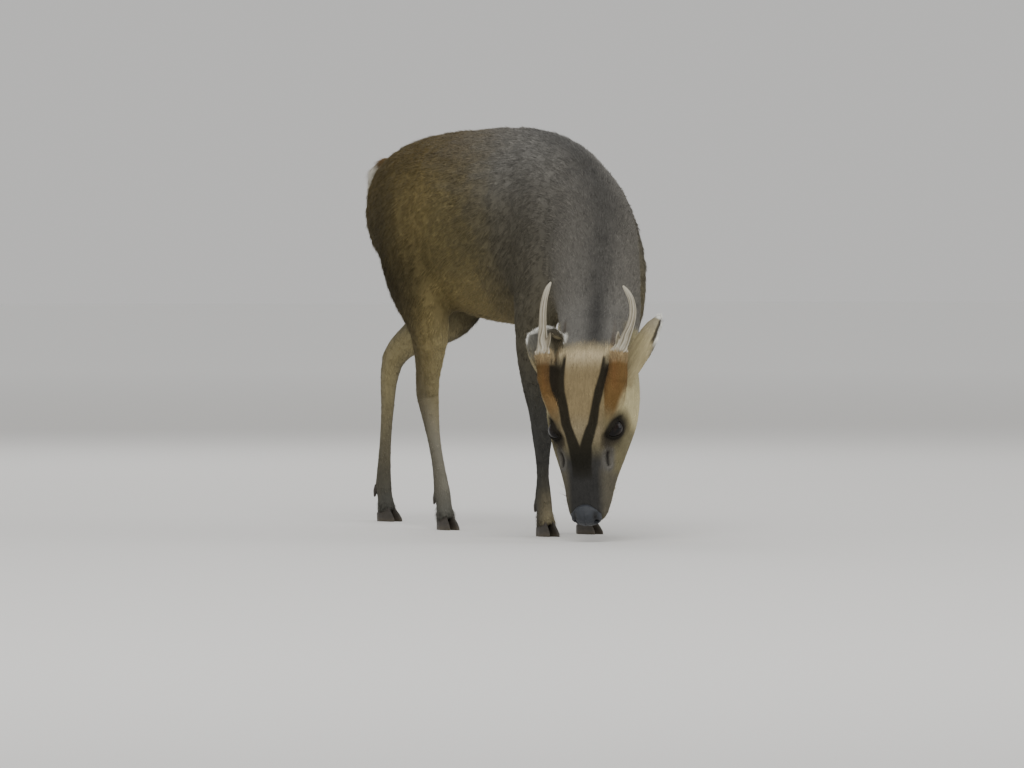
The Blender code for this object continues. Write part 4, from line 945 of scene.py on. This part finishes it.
def growth_tree(name, shape, material):
    """Strews tufts over a skin where its cover says, laid along its lie, and makes them mesh."""
    tree = bpy.data.node_groups.new(name, "GeometryNodeTree")
    face = tree.interface
    face.new_socket("Geometry", in_out="INPUT", socket_type="NodeSocketGeometry")
    for title, value in GROWTH_INPUTS.items():
        face.new_socket(title, in_out="INPUT", socket_type="NodeSocketFloat").default_value = value
    face.new_socket("Seed", in_out="INPUT", socket_type="NodeSocketInt").default_value = 1
    face.new_socket("Geometry", in_out="OUTPUT", socket_type="NodeSocketGeometry")
    inlet = tree.nodes.new("NodeGroupInput")
    named = {socket.name: Wire(tree, socket) for socket in inlet.outputs if socket.name}

    def stored(title, kind):
        return put(tree, "GeometryNodeInputNamedAttribute", {"data_type": kind}, {"Name": title})

    def chance(low, high, salt, kind="FLOAT"):
        first, out = {"FLOAT": (2, 1), "FLOAT_VECTOR": (0, 0)}[kind]
        limits = {first: low, first + 1: high, "Seed": named["Seed"] + salt}
        return put(tree, "FunctionNodeRandomValue", {"data_type": kind}, limits, out)

    def vector(operation, first, second, **more):
        slots = {0: first, 1: second}
        slots.update(more)
        return put(tree, "ShaderNodeVectorMath", {"operation": operation}, slots)

    density = named["Tufts per square metre"] * stored("cover", "FLOAT")
    strewn = put(
        tree,
        "GeometryNodeDistributePointsOnFaces",
        {},
        {"Mesh": named["Geometry"], "Density": density, "Seed": named["Seed"]},
    )
    out_way = Wire(tree, strewn.socket.node.outputs["Normal"])
    ruffle = chance((-1, -1, -1), (1, 1, 1), 11, "FLOAT_VECTOR")
    ruffle = vector("SCALE", ruffle, (0, 0, 0), Scale=named["Disorder"])
    place = put(tree, "GeometryNodeInputPosition")
    lock_turn = noise(tree, place, 120.0, 1.0, 1)
    lock_turn = vector("SUBTRACT", lock_turn, (0.5, 0.5, 0.5))
    ruffle = vector("ADD", ruffle, vector("SCALE", lock_turn, (0, 0, 0), Scale=named["Locks"]))
    streaks = noise(tree, stored("comb", "FLOAT_VECTOR"), 330.0, 2.0)
    shade = chance(0.0, 1.0, 17) * 0.45 + streaks * 1.5 - 0.5
    raised = vector("SCALE", out_way, (0, 0, 0), Scale=named["Lift"] * chance(0.5, 1.5, 13))
    way = vector("ADD", vector("ADD", stored("lie", "FLOAT_VECTOR"), ruffle), raised)
    turn = put(
        tree,
        "FunctionNodeAxesToRotation",
        {"primary_axis": "Z", "secondary_axis": "Y"},
        {"Primary Axis": way, "Secondary Axis": out_way},
    )
    shaded = put(
        tree,
        "GeometryNodeStoreNamedAttribute",
        {"data_type": "FLOAT", "domain": "POINT"},
        {"Geometry": strewn, "Name": "shade", "Value": shade},
    )
    rooted = put(
        tree,
        "GeometryNodeStoreNamedAttribute",
        {"data_type": "FLOAT_VECTOR", "domain": "POINT"},
        {"Geometry": shaded, "Name": "root_at", "Value": stored("OFBake", "FLOAT_VECTOR")},
    )
    sunk = put(
        tree,
        "GeometryNodeSetPosition",
        {},
        {"Geometry": rooted, "Offset": vector("SCALE", out_way, (0, 0, 0), Scale=-TUFT_SINK)},
    )
    size = put(
        tree,
        "ShaderNodeCombineXYZ",
        {},
        {
            "X": named["Width"] * chance(0.7, 1.3, 19),
            "Y": named["Thickness"],
            "Z": stored("hair_length", "FLOAT") * named["Length"] * chance(0.7, 1.25, 23),
        },
    )
    template = put(tree, "GeometryNodeObjectInfo", {}, {"Object": shape}, out=4)
    grown = put(
        tree,
        "GeometryNodeInstanceOnPoints",
        {},
        {"Points": sunk, "Instance": template, "Rotation": turn, "Scale": size},
    )
    real = put(tree, "GeometryNodeRealizeInstances", {}, {"Geometry": grown})
    patch = vector("SCALE", stored("leaf", "FLOAT_VECTOR"), (0, 0, 0), Scale=ROOT_PATCH)
    patch = vector("ADD", stored("root_at", "FLOAT_VECTOR"), patch)
    cleared = put(tree, "GeometryNodeRemoveAttribute", {}, {"Geometry": real, "Name": "OFBake"})
    mapped = put(
        tree,
        "GeometryNodeStoreNamedAttribute",
        {"data_type": "FLOAT2", "domain": "CORNER"},
        {"Geometry": cleared, "Name": "OFBake", "Value": patch},
    )
    for spare in ("root_at", "comb", "lie", "hair_length", "cover"):
        mapped = put(tree, "GeometryNodeRemoveAttribute", {}, {"Geometry": mapped, "Name": spare})
    soft = put(tree, "GeometryNodeSetShadeSmooth", {}, {"Geometry": mapped})
    dressed = put(tree, "GeometryNodeSetMaterial", {}, {"Geometry": soft, "Material": material})
    outlet = tree.nodes.new("NodeGroupOutput")
    tree.links.new(dressed.socket, outlet.inputs[0])
    return tree


def area_of(cover):
    """How many square metres of the hide a cover takes in."""
    return float((triangle_areas * cover[hide_corners].mean(axis=1)).sum())


def grown_coat(name, skin, cover, tree, amount, seed, **sizes):
    """One piece of coat on the skin: about so many tufts, spread where the cover is."""
    note(skin.data, "cover", "FLOAT", cover)
    modifier = skin.modifiers.new(name, "NODES")
    modifier.node_group = tree
    values = dict(sizes)
    values["Tufts per square metre"] = amount / max(area_of(cover), 1e-9)
    values["Seed"] = seed
    for item in tree.interface.items_tree:
        if item.in_out == "INPUT" and item.name in values:
            modifier[item.identifier] = values[item.name]
    bpy.context.view_layer.update()
    graph = bpy.context.evaluated_depsgraph_get()
    mesh = bpy.data.meshes.new_from_object(skin.evaluated_get(graph))
    mesh.name = name
    skin.modifiers.clear()
    skin.data.attributes.remove(skin.data.attributes["cover"])
    piece = bpy.data.objects.new(name, mesh)
    bpy.context.collection.objects.link(piece)
    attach(piece, "root")
    return piece


tuft = tuft_shape()
coat = growth_tree("coat_growth", tuft, coat_finish("coat_hair"))
hide.data.calc_loop_triangles()
hide_corners = read(hide.data, "loop_triangles", "vertices", 3, np.int32)
spans = points[hide_corners[:, 1:]] - points[hide_corners[:, :1]]
triangle_areas = np.linalg.norm(np.cross(spans[:, 0], spans[:, 1]), axis=1) / 2
bed = hide.copy()
bed.data = hide.data.copy()
bpy.context.collection.objects.link(bed)
bare = np.maximum(step(1.30, 1.05, opening), step(0.0022, 0.0010, gland_near))
bare = np.maximum(bare, zone(["nose"], 1))
haired = np.clip(1.0 - bare, 0.0, 1.0)
face_skin = zone(HEAD_PARTS, 5)
haunch_skin = zone(THIGHS, 1)
shoulder_skin = zone(ARMS, 1)
neck_skin = zone(["neck"], 5)
torso_skin = zone(["torso"], 1)
back_part = step(0.35, 0.55, normals[:, 2])
right_part = step(0.036, 0.020, points[:, 0])
ear_skin = zone(EARS, 1)
left_face = step(-0.002, 0.002, across)
REGIONS = [
    ("coat_back", torso_skin * back_part, 1.0, 0.0011, 0.00045, 0.07),
    ("coat_right_flank", torso_skin * (1 - back_part) * right_part, 1.0, 0.0011, 0.00045, 0.07),
    ("coat_left_flank", torso_skin * (1 - back_part) * (1 - right_part), 1.0, 0.0011, 0.00045, 0.07),
    ("coat_neck", neck_skin, 1.0, 0.0010, 0.00040, 0.08),
    ("coat_shoulders", shoulder_skin, 1.0, 0.0010, 0.00040, 0.07),
    ("coat_haunches", haunch_skin, 1.0, 0.0011, 0.00045, 0.07),
    ("coat_fore_legs", zone(FORE_LEGS, 1), 1.3, 0.0008, 0.00035, 0.07),
    ("coat_hind_legs", zone(HIND_LEGS, 1), 1.3, 0.0008, 0.00035, 0.07),
    ("coat_face_left", face_skin * haired * left_face, 1.8, 0.00060, 0.00025, 0.07),
    ("coat_face_right", face_skin * haired * (1 - left_face), 1.8, 0.00060, 0.00025, 0.07),
]
evenly = COAT_TUFTS / sum(area_of(cover) * dense for name, cover, dense, *rest in REGIONS)
for seed, (name, cover, dense, width, thick, lift) in enumerate(REGIONS):
    amount = min(evenly * dense * area_of(cover), MOST_A_PIECE)
    grown_coat(name, bed, cover, coat, amount, seed * 7 + 3, Width=width, Thickness=thick, Lift=lift)


def grown_rows(rows):
    """Several pieces of coat, each row with its name, cover, tufts, seed and the tufts' sizes."""
    for name, cover, amount, seed, width, thick, lift, long in rows:
        sizes = {"Width": width, "Thickness": thick, "Lift": lift, "Length": long}
        grown_coat(name, bed, cover, coat, amount, seed, **sizes)


ear_cover = ear_skin * (1 - 0.75 * ear_inside)
grown_rows(
    [
        ("coat_ears", ear_cover, 11000, 71, 0.0006, 0.00022, 0.07, 1.0),
        ("ear_fringe", ear_rim * ears, 1500, 73, 0.0005, 0.0003, 0.30, 1.2),
        ("coat_tail", tail * (tail > 0.3), 9000, 79, 0.0010, 0.0005, 0.10, 1.0),
    ]
)


# Longer hairs: the pale tufts round the foot of each antler, the hairs in the ears' cups, the
# lashes of the upper lids, the fringe over the hoofs and the whiskers round the lips, grown by
# the same tree.
antler_foot = np.maximum(foot_tuft * face_skin, burr_skirt)
upper = np.zeros(len(points))
for sign in (1, -1):
    out_at, far, side = opening_at(local, sign)
    upper = np.maximum(upper, bell(out_at - 1.10, 0.07) * step(0.0, 0.4, side) * (out_at < 3))
whisker_place = face_skin * step(0.150, 0.165, down) * step(-0.030, -0.040, above) * (1 - zone(["nose"], 2))
coronets = zone([f"{side}_{end}_pastern" for side in SIDES for end in ("fore", "hind")], 1)
coronets = coronets * step(0.0245, 0.0210, height)
grown_rows(
    [
        ("antler_foot_hair", antler_foot, 2600, 83, 0.0006, 0.0003, 0.35, 1.5),
        ("ear_cup_hair", ears * ear_inside, 1500, 89, 0.0004, 0.0002, 0.30, 2.2),
        ("lashes", upper, 420, 97, 0.00028, 0.00022, 0.9, 2.3),
        ("coronet_hair", coronets, 5600, 107, 0.0006, 0.0003, 0.45, 1.5),
        ("whiskers", whisker_place, 90, 101, 0.00030, 0.00026, 1.1, 5.5),
    ]
)
bpy.data.objects.remove(tuft)
bpy.data.objects.remove(bed)


# The eyes: dark glass, almost black, with a brown iris and a level pupil, set under the lids.
EYE_SWELL = 0.0004
IRIS_SPREAD = 1.2
eye_finish, tree, surface = finish("eye_glass", 0.07, Specular_IOR_Level=0.22)
iris = kept(tree, "iris_at", 1)
from_middle = put(tree, "ShaderNodeVectorMath", {"operation": "LENGTH"}, {0: iris}, out=1)
streaks = noise(tree, iris, 5.0, 4.0)
edge = from_middle + streaks * 0.16
brown = put(
    tree,
    "ShaderNodeValToRGB",
    {"stops": [(0.0, (0.006, 0.003, 0.002)), (0.62, (0.010, 0.005, 0.003)), (0.78, (0.003, 0.002, 0.002))]},
    {"Fac": edge},
)
flat = put(tree, "ShaderNodeVectorMath", {"operation": "MULTIPLY"}, {0: iris, 1: (0.75, 2.2, 0.0)})
pupil = put(tree, "ShaderNodeVectorMath", {"operation": "LENGTH"}, {0: flat}, out=1)
open_pupil = ranged(tree, pupil, 0.42, 0.52, 0.0, 1.0)
feed(tree, surface, Base_Color=blend(tree, open_pupil, (0.002, 0.002, 0.002, 1), brown))
for sign, side_name in ((1, "left"), (-1, "right")):
    centre, look, along, rise = eye_axes(sign)
    ball = bmesh.new()
    bmesh.ops.create_uvsphere(ball, u_segments=56, v_segments=32, radius=1.0)
    spots = np.array([vert.co for vert in ball.verts])
    swell = 1.0 + 0.045 * bell(np.arccos(np.clip(spots[:, 2], -1, 1)), 0.62)
    eye_points = spots * swell[:, None] * (EYE_RADIUS - EYE_SWELL)
    eye_points = in_room(eye_points @ np.array((along, rise, look)) + centre)
    for vert, place in zip(ball.verts, eye_points):
        vert.co = place
    bmesh.ops.recalc_face_normals(ball, faces=ball.faces)
    eye = new_piece(f"{side_name}_eyeball", [], [])
    ball.to_mesh(eye.data)
    ball.free()
    eye.data.shade_smooth()
    note(eye.data, "iris_at", "FLOAT_VECTOR", spots * (IRIS_SPREAD, IRIS_SPREAD, 0.0))
    eye.data.materials.append(eye_finish)
    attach(eye, "root")
    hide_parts(f"{side_name}_eye")


# The nose pad: bare dark leather with a cobbled, slightly wet surface and comma-shaped nostrils,
# sitting over the end of the muzzle.
NOSE_VOXEL = 0.0006
PAD_WIDER = 1.09
PAD_RISE = 0.0034
PAD_SWELL = 0.0005
NOSTRIL_DEEP = 0.0026
GROOVE_DEEP = 0.0006
NOSTRIL = np.array((0.0120, 0.1945, -0.0385))
nose_heap, nose_faces, _ = gathered(["nose"], 0.0)
nose = voxelled(new_piece("nose_pad", nose_heap, nose_faces), NOSE_VOXEL)
smoothed(nose.data, 14, 0.8)
nose_points = in_head(read(nose.data, "vertices", "co"))
nose_points[:, 0] *= PAD_WIDER
pad_top = step(-0.052, -0.036, nose_points[:, 2]) * step(0.1960, 0.1890, nose_points[:, 1])
nose_points[:, 1] -= PAD_RISE * pad_top
nose_normals = normals_of(nose.data) @ HEAD_AXES.T
nose_points += nose_normals * PAD_SWELL
hollow = np.zeros(len(nose_points))
for sign in (1, -1):
    off = (nose_points - NOSTRIL * (sign, 1, 1)) / (0.0026, 0.0052, 0.0060)
    hollow = np.maximum(hollow, bell(np.linalg.norm(off, axis=1), 1.0))
groove = bell(nose_points[:, 0], 0.0009) * step(0.190, 0.196, nose_points[:, 1])
nose_points -= nose_normals * (NOSTRIL_DEEP * hollow + GROOVE_DEEP * groove)[:, None]
write_points(nose.data, in_room(nose_points))
note(nose.data, "hollow", "FLOAT", hollow)
nose.data.shade_smooth()
nose_finish, tree, surface = finish("nose_leather", 0.36, Specular_IOR_Level=0.42)
where = put(tree, "ShaderNodeTexCoord", out=3)
cells = {"Vector": where, "Scale": 780.0}
cobbles = put(tree, "ShaderNodeTexVoronoi", {"feature": "DISTANCE_TO_EDGE"}, cells)
soft_cobbles = ranged(tree, cobbles, 0.0, 0.25, 0.0, 1.0)
# Painted shade: the pressed-in nostrils are laid near black for the shade inside the holes.
nostril_shade = kept(tree, "hollow", 2)
cloud = noise(tree, where, 160.0, 3.0)
leather = blend(tree, cloud, (0.013, 0.0155, 0.019, 1), (0.038, 0.043, 0.053, 1))
feed(
    tree,
    surface,
    Base_Color=blend(tree, nostril_shade * 1.3, leather, (0.004, 0.004, 0.004, 1)),
    Roughness=0.30 + cloud * 0.25,
    Normal=relief(tree, soft_cobbles, 0.5, 0.0003),
)
nose.data.materials.append(nose_finish)
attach(nose, "root")
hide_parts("nose")


# The antlers: each one bone beam with a short brow tine, grooved along its length, rough and
# pearled at the burr, rubbed pale at the tips, standing on its hair-covered stalk.
ANTLER_VOXEL = 0.0005
BEAM_SLICES = 30
FURROW_DEEP = 0.00050
PEARL_HIGH = 0.0013
BURR_HIGH = 0.0006
bone_finish, tree, surface = finish("antler_bone", 0.66, Specular_IOR_Level=0.25)
furrow = kept(tree, "furrow", 2)
gone_up = kept(tree, "gone_up", 2)
grain_at = kept(tree, "grain_at", 1)
grain = noise(tree, grain_at, 1.0, 4.0)
where = put(tree, "ShaderNodeTexCoord", out=3)
rough_bone = noise(tree, where, 900.0, 3.0)
low_down = ranged(tree, gone_up, 0.0, 0.22, 0.9, 0.25)
depth_here = furrow * 0.7 + grain * 0.45 + rough_bone * low_down * 0.4
bone = put(
    tree,
    "ShaderNodeValToRGB",
    {
        "stops": [
            (0.18, tuple(srgb(84, 76, 60))),
            (0.48, tuple(srgb(138, 130, 112))),
            (0.82, tuple(srgb(182, 176, 160))),
        ]
    },
    {"Fac": depth_here},
)
rubbed = ranged(tree, gone_up, 0.72, 1.0, 0.0, 0.7)
feed(
    tree,
    surface,
    Base_Color=blend(tree, rubbed, bone, (*srgb(196, 190, 172), 1)),
    Roughness=0.74 - depth_here * 0.14,
    Normal=relief(tree, depth_here, 0.8, 0.0006),
)
for sign, side_name in ((1, "left"), (-1, "right")):
    nodes = [f"{side_name}_antler_beam", f"{side_name}_brow_tine"]
    bone_heap, bone_faces, _ = gathered(nodes, 0.0002)
    antler = voxelled(new_piece(f"{side_name}_antler", bone_heap, bone_faces), ANTLER_VOXEL)
    smoothed(antler.data, 16, 0.8)
    spots = in_head(read(antler.data, "vertices", "co"))
    bone_normals = normals_of(antler.data) @ HEAD_AXES.T
    low, high = spots[:, 1].max(), spots[:, 1].min()
    gone = (low - spots[:, 1]) / (low - high)
    slices = np.clip((gone * BEAM_SLICES).astype(int), 0, BEAM_SLICES - 1)
    beam = np.abs(spots[:, 0]) > np.interp(gone, (0.0, 0.12, 0.26, 0.35), (0.0, 0.0445, 0.0430, 0.0))
    middle = np.zeros((BEAM_SLICES, 3))
    for number in range(BEAM_SLICES):
        inside = spots[(slices == number) & beam]
        middle[number] = inside.mean(axis=0) if len(inside) else middle[number - 1]
    for _ in range(4):
        middle[1:-1] = (middle[:-2] + 2.0 * middle[1:-1] + middle[2:]) / 4.0
    at_slice = gone * BEAM_SLICES - 0.5
    core = np.stack([np.interp(at_slice, np.arange(BEAM_SLICES), row) for row in middle.T], axis=1)
    turn_at = np.arctan2(spots[:, 2] - core[:, 2], spots[:, 0] - core[:, 0])
    wander = 0.5 * gone + 0.12 * np.sin(gone * 9.0)
    furrowed = 0.5 + 0.28 * np.sin(turn_at * 7.0 + wander * 3.0)
    furrowed += 0.22 * np.sin(turn_at * 13.0 - wander * 5.0)
    furrowed = 1.0 - np.abs(furrowed - 0.9) * 1.1
    pearls = (0.5 + 0.5 * np.sin(turn_at * 11.0)) * bell(gone - 0.035, 0.035)
    rise_out = FURROW_DEEP * (furrowed - 0.6) * step(1.0, 0.75, gone)
    rise_out += PEARL_HIGH * pearls + BURR_HIGH * bell(gone - 0.03, 0.03)
    spots += bone_normals * rise_out[:, None]
    write_points(antler.data, in_room(spots))
    note(antler.data, "furrow", "FLOAT", 0.75 * furrowed + 0.25 * pearls)
    note(antler.data, "gone_up", "FLOAT", gone)
    grain_points = np.stack([np.cos(turn_at) * 5.0, np.sin(turn_at) * 5.0, gone * 9.0], axis=1)
    note(antler.data, "grain_at", "FLOAT_VECTOR", grain_points)
    antler.data.shade_smooth()
    antler.data.materials.append(bone_finish)
    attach(antler, "root")
    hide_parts(*nodes)


# The hoofs: two horn claws on each foot and two small dewclaws behind, dark horn with growth
# rings and a worn, paler lower edge, the soles flat on the floor.
CLAW_VOXEL = 0.0007
CLAW_TAPER = 0.30
DEWCLAW_IN = 0.0016
horn_finish, tree, surface = finish("hoof_horn", 0.42, Specular_IOR_Level=0.45)
where = put(tree, "ShaderNodeTexCoord", out=3)
high_at = put(tree, "ShaderNodeSeparateXYZ", {}, {0: where}, out=2)
squashed = put(tree, "ShaderNodeVectorMath", {"operation": "MULTIPLY"}, {0: where, 1: (0.25, 0.25, 1.0)})
rings = noise(tree, squashed, 620.0, 3.0)
blotches = noise(tree, where, 130.0, 4.0)
horn = blend(tree, rings * 0.7 + blotches * 0.3, (*srgb(31, 29, 27), 1), (*srgb(76, 69, 59), 1))
worn = ranged(tree, high_at, 0.0, 0.006, 0.55, 0.0)
feed(
    tree,
    surface,
    Base_Color=blend(tree, worn * blotches * 1.4, horn, (*srgb(108, 99, 82), 1)),
    Roughness=0.36 + blotches * 0.3,
    Normal=relief(tree, rings, 0.45, 0.0005),
)
for foot_name in ("left_fore", "right_fore", "left_hind", "right_hind"):
    nodes = [f"{foot_name}_{place}_{kind}" for place in ("inner", "outer") for kind in ("claw", "dewclaw")]
    horn_heap, horn_faces, horn_owners = gathered(nodes, 0.0)
    ankle = clean_solid(foot_name + "_pastern")[0].mean(axis=0)
    for number, node in enumerate(nodes):
        mine = np.unique(horn_faces[horn_owners == number])
        if "dewclaw" in node:
            toward = ankle - horn_heap[mine].mean(axis=0)
            toward[2] = 0.0
            horn_heap[mine] += DEWCLAW_IN * toward / np.linalg.norm(toward)
        else:
            claw_points = horn_heap[mine]
            risen = CLAW_TAPER * step(0.25, 1.1, claw_points[:, 2] / claw_points[:, 2].max())
            claw_points[:, :2] += (ankle[:2] - claw_points[:, :2]) * risen[:, None]
            horn_heap[mine] = claw_points
    hoof = voxelled(new_piece(f"{foot_name}_hoof", horn_heap, horn_faces), CLAW_VOXEL)
    before = read(hoof.data, "vertices", "co").astype(float)
    smoothed(hoof.data, 80, 0.9)
    after = read(hoof.data, "vertices", "co").astype(float)
    after[:, 2] = np.where(before[:, 2] < 0.0006, 0.0, np.maximum(after[:, 2], 0.0))
    write_points(hoof.data, after)
    hoof.data.shade_smooth()
    hoof.data.materials.append(horn_finish)
    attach(hoof, "root")
    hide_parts(*nodes)


# The tusks: the buck's short curved upper canines, ivory, yellower at the root.
tusk_finish, tree, surface = finish("tusk_ivory", 0.28, Specular_IOR_Level=0.5, Subsurface_Weight=0.1)
where = put(tree, "ShaderNodeTexCoord", out=3)
high_at = put(tree, "ShaderNodeSeparateXYZ", {}, {0: where}, out=2)
stain = noise(tree, where, 420.0, 3.0)
rootward = ranged(tree, high_at, 0.055, 0.061, 0.0, 0.8)
ivory = blend(tree, rootward + stain * 0.2, (*srgb(232, 224, 200), 1), (*srgb(196, 178, 132), 1))
feed(
    tree,
    surface,
    Base_Color=ivory,
    Normal=relief(tree, stain, 0.2, 0.0002),
)
for side_name in ("left", "right"):
    tusk_heap, tusk_faces, _ = gathered([f"{side_name}_tusk"], 0.0)
    tusk = new_piece(f"{side_name}_canine", tusk_heap, tusk_faces)
    rounder = tusk.modifiers.new("round", "SUBSURF")
    rounder.levels = 2
    rounder.render_levels = 2
    made_plain(tusk)
    tusk.data.shade_smooth()
    tusk.data.materials.append(tusk_finish)
    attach(tusk, "root")
    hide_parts(f"{side_name}_tusk")
